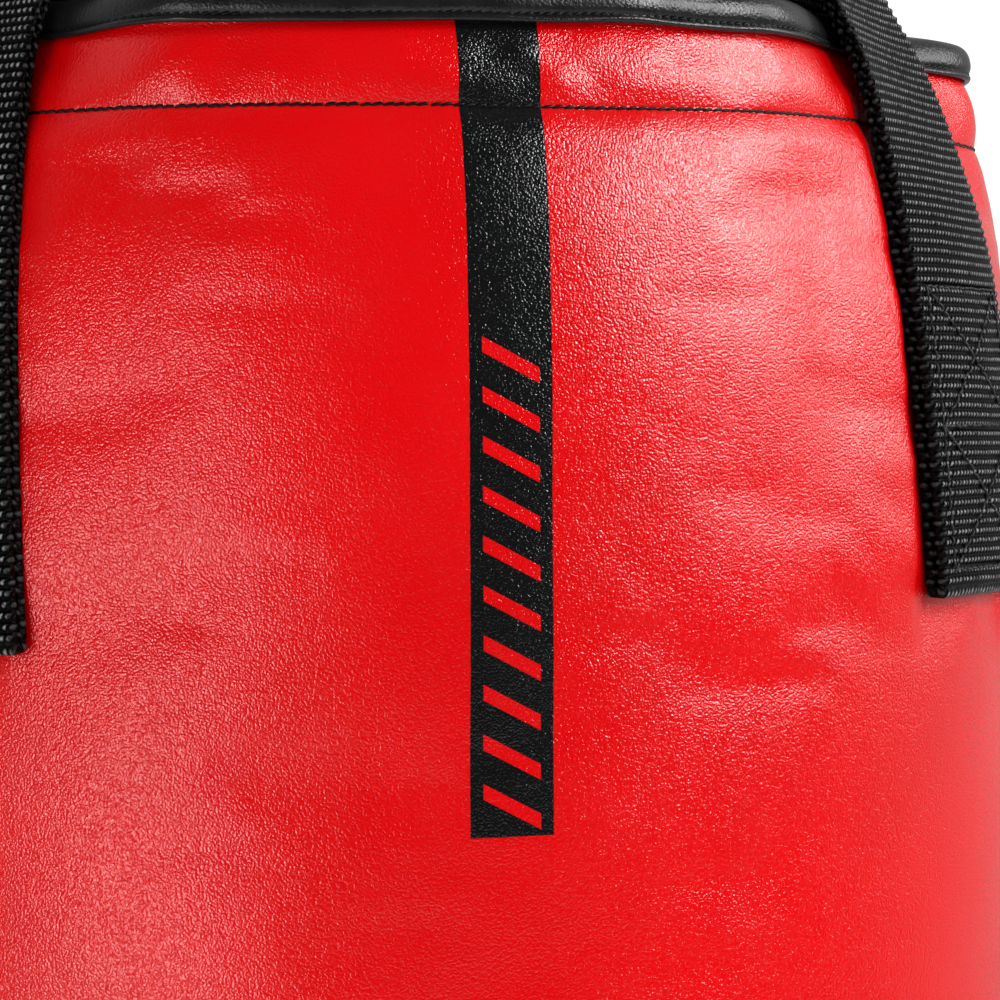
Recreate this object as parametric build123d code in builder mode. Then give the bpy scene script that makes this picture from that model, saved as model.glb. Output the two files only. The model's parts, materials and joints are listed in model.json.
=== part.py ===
"""Heavy punching bag on four webbing straps, with chain legs, snap hook and ball-bearing swivel.

Millimetres. +Z is up and -Y is the front. The origin is the centre of the swivel's top eye,
from which the whole bag hangs.
"""

import math
import os

from build123d import *

os.makedirs("parts", exist_ok=True)

# ---- driving dimensions -------------------------------------------------------------------
BODY_RADIUS = 175.0  # leather body, 350 mm across
BODY_HEIGHT = 1200.0  # rim to bottom binding
LEATHER = 2.5
BAND = 2.5  # stiffening band behind the leather at the rim
BAND_BOTTOM = 34.0
BINDING = 1.5  # binding leather folded over the rim
BINDING_HEIGHT = 8.0
SEAM_DEPTH = 18.0  # horizontal stitch line, below the binding

RIM_PULL_MID = 12.0  # how far the rim is drawn in between two straps
RIM_PULL_STRAP = 24.8  # and under a strap
MID_DEPTH = 35.0  # depths over which the two fade out
STRAP_DEPTH = 47.0
OUTLINE_POINTS = 16

WEB_WIDTH = 50.0
WEB_PLY = 2.7
STRAP_END = 130.0  # sewn lower end of a strap, below the binding
STRAP_RISE = 88.0  # free strap from the rim to its D-ring
STRAP_CLEAR = 2.0  # the strap passes outside the rim's binding

D_WIRE = 3.25
D_HALF = 30.0
D_CORNER = 4.5

LINK_WIRE = 2.5
LINK_INSIDE = 24.0
LINK_GAP_WIDTH = 9.0
LINK_COUNT = 8
CHAIN_PLAY = 0.15
HOOK_PLAY = 0.55  # the last links lie at a slant on the ring

RING_WIRE = 4.0  # the hanging ring is a tall D with its bar at the bottom
RING_HALF = 27.0
RING_CORNER = 7.0
RING_SIDE = 14.0
HOOK_NEAR = 5.6  # where two chains sit on the ring's bar, from its middle
HOOK_FAR = 14.2

EYE_BORE = 7.0
EYE_THICK = 12.0
EYE_OUTER = 15.0
HOUSING_RADIUS = 20.0
HOUSING_TOP = -18.0
HOUSING_BOTTOM = -50.0
CAVITY_RADIUS = 15.0
CAVITY_TOP = -24.0
CAP_THICK = 5.0
STEM_RADIUS = 6.0
STEM_EYE_Z = -76.0
STEM_EYE_RADIUS = 14.5
STEM_EYE_WIRE = 4.5
BALL_RADIUS = 2.5
BALL_COUNT = 12
BALL_PITCH_RADIUS = 10.5
RACE_THICK = 2.5
NUT_FLATS = 19.0
NUT_HEIGHT = 8.0
STEM_OVER_NUT = 0.8
COLLAR_RADIUS = 9.5
COLLAR_THICK = 3.0
COLLAR_GAP = 2.2  # between the cap and the stem's collar, filled by the seal
SEAL_WIRE = 1.0
SHOULDER_CHAMFER = 5.0
CAP_CHAMFER = 1.5
TIGHT = 0.02  # gap of a pressed or screwed fit
RUNNING = 0.06  # gap round a part that turns

SNAP_WIRE = 5.0
SNAP_HALF = 15.0  # half its width, at the wire's centre
SNAP_LEG = 50.0
GATE_RADIUS = 4.5
GATE_PIN_RADIUS = 1.5
GATE_TONGUE = 4.0
GATE_DROP = 8.15  # pin below the start of the straight leg
GATE_LENGTH = 39.0
GATE_TANG_RADIUS = 4.6
GATE_TOP_GAP = 5.5  # from the pin down to the gate's round body
GATE_CHAMFER = 0.8
NOSE_GAP = 0.4
NOSE_TONGUE = 12.0
NOSE_TONGUE_WIDTH = 6.0
SPRING_DEPTH = 15.0  # middle of the spring's bore, below the pin
SPRING_BORE = 1.9
SPRING_BORE_LENGTH = 16.0
SPRING_RADIUS = 1.35
SPRING_WIRE = 0.35
SPRING_PITCH = 2.2
SPRING_TURNS = 6
TOUCH = 0.15  # gap where two loaded wires rest on each other

LID = 2.0
LID_FLANGE = 14.0
ZIP_HALF = 132.0
ZIP_SLOT = 10.4
TAPE = 1.1
TAPE_WIDTH = 15.0
TOOTH_PITCH = 5.0
TOOTH_WIDTH = 2.6
TOOTH_REACH = 3.4
TOOTH_HEIGHT = 2.2
TOOTH_ROOT = 1.6
STOP_REACH = 9.0
ZIP_GAP = 0.9  # half the gap that the slider's wedge runs in
SLIDER_REST = 118.0
SLIDER_LENGTH = 19.0
SLIDER_WIDTH = 13.5
SLIDER_PLATE = 1.8
SLIDER_LOWER_PLATE = 1.5
SLIDER_WEDGE = 6.0
SLIDER_WEDGE_WIDTH = 1.4
BAIL_RADIUS = 3.2
BAIL_THICK = 3.2
BAIL_FOOT = 6.4
PULL_PIN = 1.0
PULL_PLAY = 0.08
PULL_PIN_LENGTH = 7.4
PULL_LENGTH = 30.0
PULL_WIDTH = 9.0
PULL_ARM = 1.7  # the pull's two arms either side of the bail
PULL_ARM_LENGTH = 10.0
PULL_HOLE = 2.5

ANCHOR_WIRE = 2.5
ANCHOR_HALF = 23.0
ANCHOR_CORNER = 5.0
ANCHOR_WEB = 38.0
ANCHOR_WEB_HALF_LENGTH = 70.0
ANCHOR_PLY = 2.5
ANCHOR_PLAY = 0.35
BOTTOM_SAG = 8.0
BOTTOM_FLAT = 85.0
BOTTOM_CORNER = 5.5  # where the disc turns down into its seam, above the bottom

LINER = 1.2
FOAM = 22.0
PAD = 24.0
BOTTOM_PAD = 30.0
FLOOR_RISE = 10.0  # the filling's lowest level, above the bottom
CORE_RADIUS = 50.0
CORE_RISE = 150.0
CORE_HEIGHT = 700.0

SLIP = 0.2  # gap between layers that lie on each other

STRAPS = {"front_right": -45.0, "rear_right": 45.0, "rear_left": 135.0, "front_left": -135.0}


def save(piece, name):
    piece.label = name
    export_step(piece, f"parts/{name}.step")


# ---- places worked out from the dimensions --------------------------------------------------
LEAN = math.atan(RIM_PULL_STRAP / STRAP_DEPTH)  # the free strap's angle to the vertical
STRAP_THICK = 2 * WEB_PLY

snap_top = STEM_EYE_Z - (STEM_EYE_RADIUS - STEM_EYE_WIRE) + SNAP_WIRE + TOUCH
snap_leg_top = snap_top - SNAP_HALF
snap_leg_bottom = snap_leg_top - SNAP_LEG
snap_bottom = snap_leg_bottom - SNAP_HALF
gate_pin_z = snap_leg_top - GATE_DROP
ring_top = snap_bottom + SNAP_WIRE + RING_WIRE + TOUCH
ring_bar = ring_top - RING_HALF - RING_SIDE - RING_CORNER


def hook_point(x):
    """Centre of the hanging ring's bar, at a distance x from its middle."""
    return Vector(x, 0, ring_bar)


# The strap's free part runs straight along the middle of its two plies. Heights above the binding.
strap_start = (
    BODY_RADIUS - RIM_PULL_STRAP + STRAP_CLEAR + WEB_PLY * math.cos(LEAN),
    WEB_PLY * math.sin(LEAN),
)
bar_radius_out = strap_start[0] - STRAP_RISE * math.sin(LEAN)
bar_height = strap_start[1] + STRAP_RISE * math.cos(LEAN)
d_height = D_CORNER + D_HALF
apex_radius_out = bar_radius_out - d_height * math.sin(LEAN)
apex_height = bar_height + d_height * math.cos(LEAN)

first_step = LINK_INSIDE / 2 - RING_WIRE - HOOK_PLAY
last_step = LINK_INSIDE / 2 - D_WIRE - CHAIN_PLAY
chain_length = first_step + (LINK_COUNT - 1) * (LINK_INSIDE - CHAIN_PLAY) + last_step
apex_side = apex_radius_out * math.sqrt(0.5)
near_hook = hook_point(HOOK_NEAR)
chain_drop = math.sqrt(chain_length**2 - (apex_side - HOOK_NEAR) ** 2 - apex_side**2)
Z_BINDING = near_hook.Z - chain_drop - apex_height  # lower edge of the rim's binding
Z_RIM = Z_BINDING + BINDING_HEIGHT
Z_BOTTOM = Z_RIM - BODY_HEIGHT
print("lower edge of the binding", round(Z_BINDING, 3), "bottom", round(Z_BOTTOM, 3))


def strap_radius(depth):
    """Outer radius of the leather under a strap, at a depth below the rim's binding."""
    if depth < 0:
        return BODY_RADIUS - RIM_PULL_STRAP * (1 - depth / STRAP_DEPTH)
    return BODY_RADIUS - RIM_PULL_STRAP * math.exp(-depth / STRAP_DEPTH)


def mid_radius(depth):
    """Outer radius of the leather halfway between two straps."""
    return BODY_RADIUS - RIM_PULL_MID * math.exp(-((max(depth, 0) / MID_DEPTH) ** 1.3))


def lobed_section(depth, grow):
    """Closed outline of the body at a depth, drawn in at the four straps."""
    points = []
    for k in range(OUTLINE_POINTS):
        angle = 2 * math.pi * k / OUTLINE_POINTS
        at_strap = (1 - math.cos(4 * angle)) / 2
        radius = strap_radius(depth) * at_strap + mid_radius(depth) * (1 - at_strap) + grow
        points.append((radius * math.cos(angle), radius * math.sin(angle)))
    return points


def lobed_solid(top_depth, bottom_depth, grow):
    """Solid with the body's outline, grown outwards by grow, between two depths."""
    stations = [0.0, 8.0, 18.0, 30.0, 44.0, 60.0, 80.0, 105.0, 140.0, 190.0, 260.0]
    inner = [d for d in stations if top_depth + 2 < d < bottom_depth - 2]
    with BuildPart() as solid:
        for depth in [top_depth, *inner, bottom_depth]:
            with BuildSketch(Plane.XY.offset(Z_BINDING - depth)):
                with BuildLine():
                    Spline(*lobed_section(depth, grow), periodic=True)
                make_face()
        loft(ruled=True)
    return solid.part


def radial_plane(azimuth, height):
    """Plane through the axis at an azimuth: local x runs outwards and local y runs up."""
    a = math.radians(azimuth)
    out = Vector(math.cos(a), math.sin(a), 0)
    return Plane(origin=(0, 0, height), x_dir=out, z_dir=out.cross(Vector(0, 0, 1)))


# ---- swivel ---------------------------------------------------------------------------------
with BuildPart() as swivel_housing:
    with BuildSketch(Plane.XY.offset(HOUSING_BOTTOM)):
        Circle(HOUSING_RADIUS)
    extrude(amount=HOUSING_TOP - HOUSING_BOTTOM)
    shoulder = swivel_housing.edges().group_by(Axis.Z)[-1]
    chamfer(shoulder, length=SHOULDER_CHAMFER)
    with BuildSketch(Plane.XZ):
        with BuildLine():
            Line((-EYE_OUTER, HOUSING_TOP - 3), (-EYE_OUTER, 0))
            RadiusArc((-EYE_OUTER, 0), (EYE_OUTER, 0), EYE_OUTER)
            Line((EYE_OUTER, 0), (EYE_OUTER, HOUSING_TOP - 3))
            Line((EYE_OUTER, HOUSING_TOP - 3), (-EYE_OUTER, HOUSING_TOP - 3))
        make_face()
    extrude(amount=EYE_THICK / 2, both=True)
    with BuildSketch(Plane.XZ):
        Circle(EYE_BORE)
    extrude(amount=EYE_THICK, both=True, mode=Mode.SUBTRACT)
    with BuildSketch(Plane.XY.offset(HOUSING_BOTTOM)):
        Circle(CAVITY_RADIUS)
    extrude(amount=CAVITY_TOP - HOUSING_BOTTOM, mode=Mode.SUBTRACT)
save(swivel_housing.part, "swivel_housing")

race_seat = HOUSING_BOTTOM + CAP_THICK
with BuildPart() as swivel_cap:
    with BuildSketch(Plane.XY.offset(HOUSING_BOTTOM - CAP_THICK)):
        Circle(HOUSING_RADIUS)
    extrude(amount=CAP_THICK)
    rim_edge = swivel_cap.edges().group_by(Axis.Z)[0]
    chamfer(rim_edge, length=CAP_CHAMFER)
    with BuildSketch(Plane.XY.offset(HOUSING_BOTTOM)):
        Circle(CAVITY_RADIUS - TIGHT)
    extrude(amount=CAP_THICK)
    with BuildSketch(Plane.XY.offset(HOUSING_BOTTOM - CAP_THICK)):
        Circle(STEM_RADIUS + RUNNING)
    extrude(amount=2 * CAP_THICK, mode=Mode.SUBTRACT)
save(swivel_cap.part, "swivel_cap")

ball_z = race_seat + RACE_THICK + BALL_RADIUS + TIGHT
with BuildPart() as lower_race:
    with BuildSketch(Plane.XY.offset(race_seat)):
        Circle(CAVITY_RADIUS - SLIP)
        Circle(STEM_RADIUS + 4 * SLIP, mode=Mode.SUBTRACT)
    extrude(amount=RACE_THICK)
save(lower_race.part, "lower_race")

with BuildPart() as bearing_balls:
    with Locations((0, 0, ball_z)):
        with PolarLocations(BALL_PITCH_RADIUS, BALL_COUNT):
            Sphere(BALL_RADIUS)
save(bearing_balls.part, "bearing_balls")

upper_race_z = ball_z + BALL_RADIUS + 2 * TIGHT
with BuildPart() as upper_race:
    with BuildSketch(Plane.XY.offset(upper_race_z)):
        Circle(CAVITY_RADIUS - 3 * SLIP)
        Circle(STEM_RADIUS + TIGHT, mode=Mode.SUBTRACT)
    extrude(amount=RACE_THICK)
save(upper_race.part, "upper_race")

nut_z = upper_race_z + RACE_THICK + TIGHT
with BuildPart() as stem_nut:
    with BuildSketch(Plane.XY.offset(nut_z)):
        RegularPolygon(NUT_FLATS / 2, 6, major_radius=False)
        Circle(STEM_RADIUS + TIGHT, mode=Mode.SUBTRACT)
    extrude(amount=NUT_HEIGHT)
save(stem_nut.part, "stem_nut")

collar_top = HOUSING_BOTTOM - CAP_THICK - COLLAR_GAP
with BuildPart() as swivel_stem:
    stem_bottom = STEM_EYE_Z + STEM_EYE_RADIUS
    with BuildSketch(Plane.XY.offset(stem_bottom)):
        Circle(STEM_RADIUS)
    extrude(amount=nut_z + NUT_HEIGHT + STEM_OVER_NUT - stem_bottom)
    with BuildSketch(Plane.XY.offset(collar_top - COLLAR_THICK)):
        Circle(COLLAR_RADIUS)
    extrude(amount=COLLAR_THICK)
    with Locations(Location((0, 0, STEM_EYE_Z), (90, 0, 0))):
        Torus(STEM_EYE_RADIUS, STEM_EYE_WIRE)
save(swivel_stem.part, "swivel_stem")

with BuildPart() as dust_seal:
    with Locations((0, 0, collar_top + SEAL_WIRE + TIGHT)):
        Torus(STEM_RADIUS + SEAL_WIRE + SLIP, SEAL_WIRE)
save(dust_seal.part, "dust_seal")

# ---- snap hook ------------------------------------------------------------------------------
snap_plane = Plane.YZ  # local x is world Y, local y is world Z
nose_z = gate_pin_z - GATE_LENGTH
with BuildPart() as snap_hook_body:
    with BuildLine(snap_plane) as snap_path:
        Line((SNAP_HALF, gate_pin_z), (SNAP_HALF, snap_leg_top))
        RadiusArc((SNAP_HALF, snap_leg_top), (-SNAP_HALF, snap_leg_top), -SNAP_HALF)
        Line((-SNAP_HALF, snap_leg_top), (-SNAP_HALF, snap_leg_bottom))
        RadiusArc((-SNAP_HALF, snap_leg_bottom), (SNAP_HALF, snap_leg_bottom), -SNAP_HALF)
        Line((SNAP_HALF, snap_leg_bottom), (SNAP_HALF, nose_z))
    with BuildSketch(Plane(origin=snap_path.line @ 0, z_dir=snap_path.line % 0)):
        Circle(SNAP_WIRE)
    sweep()
    with Locations((0, SNAP_HALF, gate_pin_z)):
        Sphere(SNAP_WIRE)
    # The fork that holds the gate's tang
    with Locations((0, SNAP_HALF, gate_pin_z)):
        Box(GATE_TONGUE + 3 * SLIP, 4 * SNAP_WIRE, 2 * SNAP_WIRE + 4 * SLIP, mode=Mode.SUBTRACT)
        Cylinder(GATE_PIN_RADIUS + TIGHT, 4 * SNAP_WIRE, rotation=(0, 90, 0), mode=Mode.SUBTRACT)
    # The tongue that the gate closes over
    with BuildSketch(snap_plane):
        with Locations((SNAP_HALF, nose_z + NOSE_TONGUE / 8)):
            SlotOverall(NOSE_TONGUE, NOSE_TONGUE_WIDTH, rotation=90)
    extrude(amount=GATE_TONGUE / 2, both=True)
save(snap_hook_body.part, "snap_hook_body")

with BuildPart() as snap_hook_gate:
    with BuildSketch(Plane.XY.offset(nose_z + NOSE_GAP)):
        with Locations((0, SNAP_HALF)):
            Circle(GATE_RADIUS)
    extrude(amount=GATE_LENGTH - NOSE_GAP - GATE_TOP_GAP)
    lower_edge = snap_hook_gate.edges().group_by(Axis.Z)[0]
    chamfer(lower_edge, length=GATE_CHAMFER)
    with BuildSketch(snap_plane):
        with Locations((SNAP_HALF, gate_pin_z)):
            Circle(GATE_TANG_RADIUS)
        with Locations((SNAP_HALF, gate_pin_z - GATE_TONGUE)):
            Rectangle(2 * GATE_RADIUS - 1.0, 2 * GATE_TONGUE)
    extrude(amount=GATE_TONGUE / 2, both=True)
    # Slot over the nose's tongue, the pin's bore, and the spring's bore
    with Locations((0, SNAP_HALF, nose_z + NOSE_TONGUE / 4 + NOSE_GAP)):
        Box(GATE_TONGUE + 3 * SLIP, 4 * GATE_RADIUS, 3 * NOSE_TONGUE / 4, mode=Mode.SUBTRACT)
    with Locations((0, SNAP_HALF, gate_pin_z)):
        Cylinder(GATE_PIN_RADIUS + RUNNING, 4 * GATE_RADIUS, rotation=(0, 90, 0), mode=Mode.SUBTRACT)
    with Locations((0, SNAP_HALF, gate_pin_z - SPRING_DEPTH)):
        Cylinder(SPRING_BORE, SPRING_BORE_LENGTH, mode=Mode.SUBTRACT)
save(snap_hook_gate.part, "snap_hook_gate")

with BuildPart() as gate_pin:
    with Locations((0, SNAP_HALF, gate_pin_z)):
        Cylinder(GATE_PIN_RADIUS, 2 * SNAP_WIRE - 3 * SLIP, rotation=(0, 90, 0))
save(gate_pin.part, "gate_pin")

with BuildPart() as gate_spring:
    spring_length = SPRING_PITCH * SPRING_TURNS
    spring_start = gate_pin_z - SPRING_DEPTH - spring_length / 2
    with BuildLine(Plane(origin=(0, SNAP_HALF, spring_start))) as coil:
        Helix(pitch=SPRING_PITCH, height=spring_length, radius=SPRING_RADIUS)
    with BuildSketch(Plane(origin=coil.line @ 0, z_dir=coil.line % 0)):
        Circle(SPRING_WIRE)
    sweep(is_frenet=True)
save(gate_spring.part, "gate_spring")

# ---- ring and chains ------------------------------------------------------------------------
def wire_loop(straight_half, bend, wire, plane=Plane.XY):
    """One welded chain link: two straights joined by two half circles."""
    with BuildPart() as loop:
        with BuildLine(plane) as path:
            Line((-straight_half, -bend), (straight_half, -bend))
            RadiusArc((straight_half, -bend), (straight_half, bend), -bend)
            Line((straight_half, bend), (-straight_half, bend))
            RadiusArc((-straight_half, bend), (-straight_half, -bend), -bend)
        with BuildSketch(Plane(origin=path.line @ 0, z_dir=path.line % 0)):
            Circle(wire)
        sweep()
    return loop.part


link_bend = LINK_GAP_WIDTH / 2 + LINK_WIRE
link = wire_loop((LINK_INSIDE - LINK_GAP_WIDTH) / 2, link_bend, LINK_WIRE)


def d_loop(half, corner, wire, side=0.0):
    """A D-ring lying in XY: its bar along X at the origin, its bow towards +Y."""
    with BuildPart() as ring:
        with BuildLine() as path:
            Line((corner - half, 0), (half - corner, 0))
            RadiusArc((half - corner, 0), (half, corner), -corner)
            if side:
                Line((half, corner), (half, corner + side))
            RadiusArc((half, corner + side), (-half, corner + side), -half)
            if side:
                Line((-half, corner + side), (-half, corner))
            RadiusArc((-half, corner), (corner - half, 0), -corner)
        with BuildSketch(Plane(origin=path.line @ 0, z_dir=path.line % 0)):
            Circle(wire)
        sweep()
    return ring.part


with BuildPart() as hanging_ring:
    with Locations(Plane(origin=(0, 0, ring_bar), x_dir=(1, 0, 0), z_dir=(0, -1, 0)).location):
        add(d_loop(RING_HALF, RING_CORNER, RING_WIRE, RING_SIDE))
save(hanging_ring.part, "hanging_ring")

d_ring_shape = d_loop(D_HALF, D_CORNER, D_WIRE)

for place, azimuth in STRAPS.items():
    a = math.radians(azimuth)
    outward = Vector(math.cos(a), math.sin(a), 0)
    along = Vector(-math.sin(a), math.cos(a), 0)
    rising = Vector(0, 0, math.cos(LEAN)) - outward * math.sin(LEAN)
    bar = outward * bar_radius_out + Vector(0, 0, Z_BINDING + bar_height)
    ring_plane = Plane(origin=bar, x_dir=along, z_dir=along.cross(rising))
    with BuildPart() as d_ring:
        with Locations(ring_plane.location):
            add(d_ring_shape)
    save(d_ring.part, f"d_ring_{place}")

    # Two chains lie further out on the ring than the other two, so the four don't cross.
    reach = HOOK_FAR if place in ("front_right", "rear_left") else HOOK_NEAR
    hook = hook_point(math.copysign(reach, outward.X))
    apex = bar + rising * d_height
    run = apex - hook
    down = run.normalized()
    step = (run.length - first_step - last_step) / (LINK_COUNT - 1)
    across_ring = (Vector(1, 0, 0) - down * down.X).normalized()
    across_d = (along - down * down.dot(along)).normalized()
    # The last link turns with the D-ring's bow, so the chain carries a slight even twist.
    whole_turn = math.degrees(math.atan2(down.dot(across_ring.cross(across_d)), across_ring.dot(across_d)))
    plain_turn = 90.0 * (LINK_COUNT - 1)
    miss = (whole_turn - plain_turn + 90.0) % 180.0 - 90.0
    turn = (plain_turn + miss) / (LINK_COUNT - 1)
    places = []
    for k in range(LINK_COUNT):
        centre = hook + down * (first_step + k * step)
        normal = across_ring.rotate(Axis((0, 0, 0), down), k * turn)
        places.append(Plane(origin=centre, x_dir=down, z_dir=normal).location)
    with BuildPart() as chain:
        with Locations(*places):
            add(link)
    save(chain.part, f"chain_{place}")
    print(place, "chain step", round(step, 3), "turn", round(turn, 2))


# ---- straps ---------------------------------------------------------------------------------
def strap_point(depth, lift):
    """Point of the strap that lies on the body, lift above its inner face, in a radial plane."""
    fade = math.exp(-depth / STRAP_DEPTH)
    pull = RIM_PULL_STRAP - STRAP_CLEAR + 2 * SLIP
    radius = BODY_RADIUS + 2 * SLIP - pull * fade
    lean = math.atan(pull / STRAP_DEPTH * fade)
    return (radius + lift * math.cos(lean), lift * math.sin(lean) - depth)


strap_depths = [0.0, 15.0, 32.0, 55.0, 85.0, STRAP_END - WEB_PLY]
end_radius = BODY_RADIUS + 2 * SLIP + WEB_PLY
lean_dir = (-math.sin(LEAN), math.cos(LEAN))
side = (math.cos(LEAN), math.sin(LEAN))
eye_radius = D_WIRE + SLIP + WEB_PLY
for place, azimuth in STRAPS.items():
    with BuildPart() as strap:
        with BuildSketch(radial_plane(azimuth, Z_BINDING)):
            with BuildLine():
                inner = [strap_point(d, 0) for d in strap_depths]
                outer = [strap_point(d, STRAP_THICK) for d in strap_depths]
                top_inner, top_outer = (
                    (
                        bar_radius_out + lift * side[0] - D_WIRE / 2 * lean_dir[0],
                        bar_height + lift * side[1] - D_WIRE / 2 * lean_dir[1],
                    )
                    for lift in (-WEB_PLY, WEB_PLY)
                )
                Spline(*inner)
                Line(inner[0], top_inner)
                Line(top_inner, top_outer)
                Line(top_outer, outer[0])
                Spline(*outer)
                middle = strap_point(STRAP_END, WEB_PLY)
                ThreePointArc(inner[-1], middle, outer[-1])
            make_face()
            with Locations((bar_radius_out, bar_height)):
                Circle(eye_radius)
                Circle(D_WIRE + SLIP, mode=Mode.SUBTRACT)
        extrude(amount=WEB_WIDTH / 2, both=True)
    save(strap.part, f"strap_{place}")

# ---- leather body ---------------------------------------------------------------------------
shell_top = -(BINDING_HEIGHT - BINDING)  # depth of the leather's top edge, inside the binding
Z_CORNER = Z_BOTTOM + BINDING
shell_bottom = Z_BINDING - Z_CORNER
shell_outer = lobed_solid(shell_top, shell_bottom, 0)
shell_inner = lobed_solid(shell_top, shell_bottom, -LEATHER)
for name, half in (("front_panel", -2 * BODY_RADIUS), ("back_panel", 2 * BODY_RADIUS)):
    with BuildPart() as panel:
        add(shell_outer)
        add(shell_inner, mode=Mode.SUBTRACT)
        with Locations((0, half, Z_BINDING)):
            Box(4 * BODY_RADIUS, 4 * BODY_RADIUS, 4 * BODY_HEIGHT, mode=Mode.INTERSECT)
    save(panel.part, name)

band_outer = lobed_solid(shell_top, BAND_BOTTOM, -LEATHER - SLIP)
band_inner = lobed_solid(shell_top, BAND_BOTTOM, -LEATHER - BAND)
with BuildPart() as rim_band:
    add(band_outer)
    add(band_inner, mode=Mode.SUBTRACT)
save(rim_band.part, "rim_band")

binding_outer = lobed_solid(-BINDING_HEIGHT, 0.0, BINDING)
channel_outer = lobed_solid(shell_top - SLIP, 0.0, SLIP)
channel_inner = lobed_solid(shell_top - SLIP, 0.0, -LEATHER - BAND - SLIP)
binding_inner = lobed_solid(-BINDING_HEIGHT, 0.0, -LEATHER - BAND - BINDING)
with BuildPart() as rim_binding:
    add(binding_outer)
    add(channel_outer, mode=Mode.SUBTRACT)
    add(channel_inner)
    add(binding_inner, mode=Mode.SUBTRACT)
save(rim_binding.part, "rim_binding")

# ---- lid and zip ----------------------------------------------------------------------------
lid_grow = -LEATHER - BAND - SLIP
lid_top = SEAM_DEPTH - 3.0
Z_LID = Z_BINDING - lid_top
lid_outer = lobed_solid(lid_top, lid_top + LID_FLANGE, lid_grow)
lid_inner = lobed_solid(lid_top + LID, lid_top + LID_FLANGE, lid_grow - LID)
with BuildPart() as lid_panel:
    add(lid_outer)
    add(lid_inner, mode=Mode.SUBTRACT)
    with BuildSketch(Plane.XY.offset(Z_LID - LID - 1)):
        Rectangle(2 * ZIP_HALF, ZIP_SLOT)
    extrude(amount=LID + 2, mode=Mode.SUBTRACT)
save(lid_panel.part, "lid_panel")

z_tape = Z_LID - LID - SLIP / 4 - TAPE
z_teeth = z_tape + TAPE + SLIP / 4
for name, side_sign in (("front", -1), ("rear", 1)):
    with BuildPart() as tape:
        with BuildSketch(Plane.XY.offset(z_tape)):
            with Locations((0, side_sign * (ZIP_GAP + SLIP + TAPE_WIDTH / 2))):
                Rectangle(2 * ZIP_HALF, TAPE_WIDTH)
        extrude(amount=TAPE)
    save(tape.part, f"zip_tape_{name}")
    with BuildPart() as teeth:
        with BuildSketch(Plane.XY.offset(z_teeth)):
            with Locations((0, side_sign * (ZIP_GAP + TOOTH_REACH))):
                Rectangle(2 * ZIP_HALF - 3 * TOOTH_WIDTH, TOOTH_ROOT)
            count = int(2 * ZIP_HALF / TOOTH_PITCH) - 2
            with Locations((side_sign * TOOTH_PITCH / 4, side_sign * (ZIP_GAP + TOOTH_REACH / 2))):
                with GridLocations(TOOTH_PITCH, 1, count, 1):
                    Rectangle(TOOTH_WIDTH, TOOTH_REACH)
        extrude(amount=TOOTH_HEIGHT)
    save(teeth.part, f"zip_teeth_{name}")

with BuildPart() as zip_stops:
    with BuildSketch(Plane.XY.offset(z_teeth)):
        with GridLocations(2 * ZIP_HALF - TOOTH_PITCH, 1, 2, 1):
            Rectangle(TOOTH_WIDTH, STOP_REACH)
    extrude(amount=TOOTH_HEIGHT)
save(zip_stops.part, "zip_stops")

slider_top = z_teeth + TOOTH_HEIGHT + 2.5 * SLIP
slider_low = z_tape - 2 * SLIP
bail_z = slider_top + SLIDER_PLATE + 0.7 * BAIL_RADIUS
with BuildPart() as zip_slider:
    with BuildSketch(Plane.XY.offset(slider_top)):
        with Locations((SLIDER_REST, 0)):
            SlotOverall(SLIDER_LENGTH, SLIDER_WIDTH)
    extrude(amount=SLIDER_PLATE)
    with BuildSketch(Plane.XY.offset(slider_low - SLIDER_LOWER_PLATE)):
        with Locations((SLIDER_REST, 0)):
            SlotOverall(SLIDER_LENGTH, SLIDER_WIDTH)
    extrude(amount=SLIDER_LOWER_PLATE)
    with BuildSketch(Plane.XY.offset(slider_low - SLIDER_LOWER_PLATE / 2)):
        with Locations((SLIDER_REST, 0)):
            SlotOverall(SLIDER_WEDGE, SLIDER_WEDGE_WIDTH)
    extrude(amount=slider_top - slider_low + SLIDER_LOWER_PLATE)
    with BuildSketch(Plane.XZ):
        with Locations((SLIDER_REST, bail_z - BAIL_RADIUS / 2)):
            Rectangle(BAIL_FOOT, BAIL_RADIUS)
        with Locations((SLIDER_REST, bail_z)):
            Circle(BAIL_RADIUS)
            Circle(PULL_PIN + PULL_PLAY, mode=Mode.SUBTRACT)
    extrude(amount=BAIL_THICK / 2, both=True)
save(zip_slider.part, "zip_slider")

with BuildPart() as zip_pull:
    with Locations((SLIDER_REST, 0, bail_z)):
        Cylinder(PULL_PIN, PULL_PIN_LENGTH, rotation=(90, 0, 0))
    arm_x = SLIDER_REST - 0.4 * PULL_ARM_LENGTH
    arm_y = (PULL_PIN_LENGTH - PULL_ARM) / 2
    pull_x = SLIDER_REST - 0.7 * PULL_LENGTH
    with BuildSketch(Plane.XY.offset(bail_z - PULL_PIN)):
        with Locations((arm_x, -arm_y), (arm_x, arm_y)):
            Rectangle(PULL_ARM_LENGTH, PULL_ARM)
        with Locations((pull_x, 0)):
            SlotOverall(PULL_LENGTH, PULL_WIDTH)
        with Locations((pull_x - PULL_WIDTH, 0)):
            Circle(PULL_HOLE, mode=Mode.SUBTRACT)
        with Locations((SLIDER_REST - 2.6, 0)):
            Rectangle(3 * BAIL_RADIUS, 2 * (arm_y - PULL_ARM / 2), mode=Mode.SUBTRACT)
    extrude(amount=2 * PULL_PIN)
save(zip_pull.part, "zip_pull")


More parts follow.
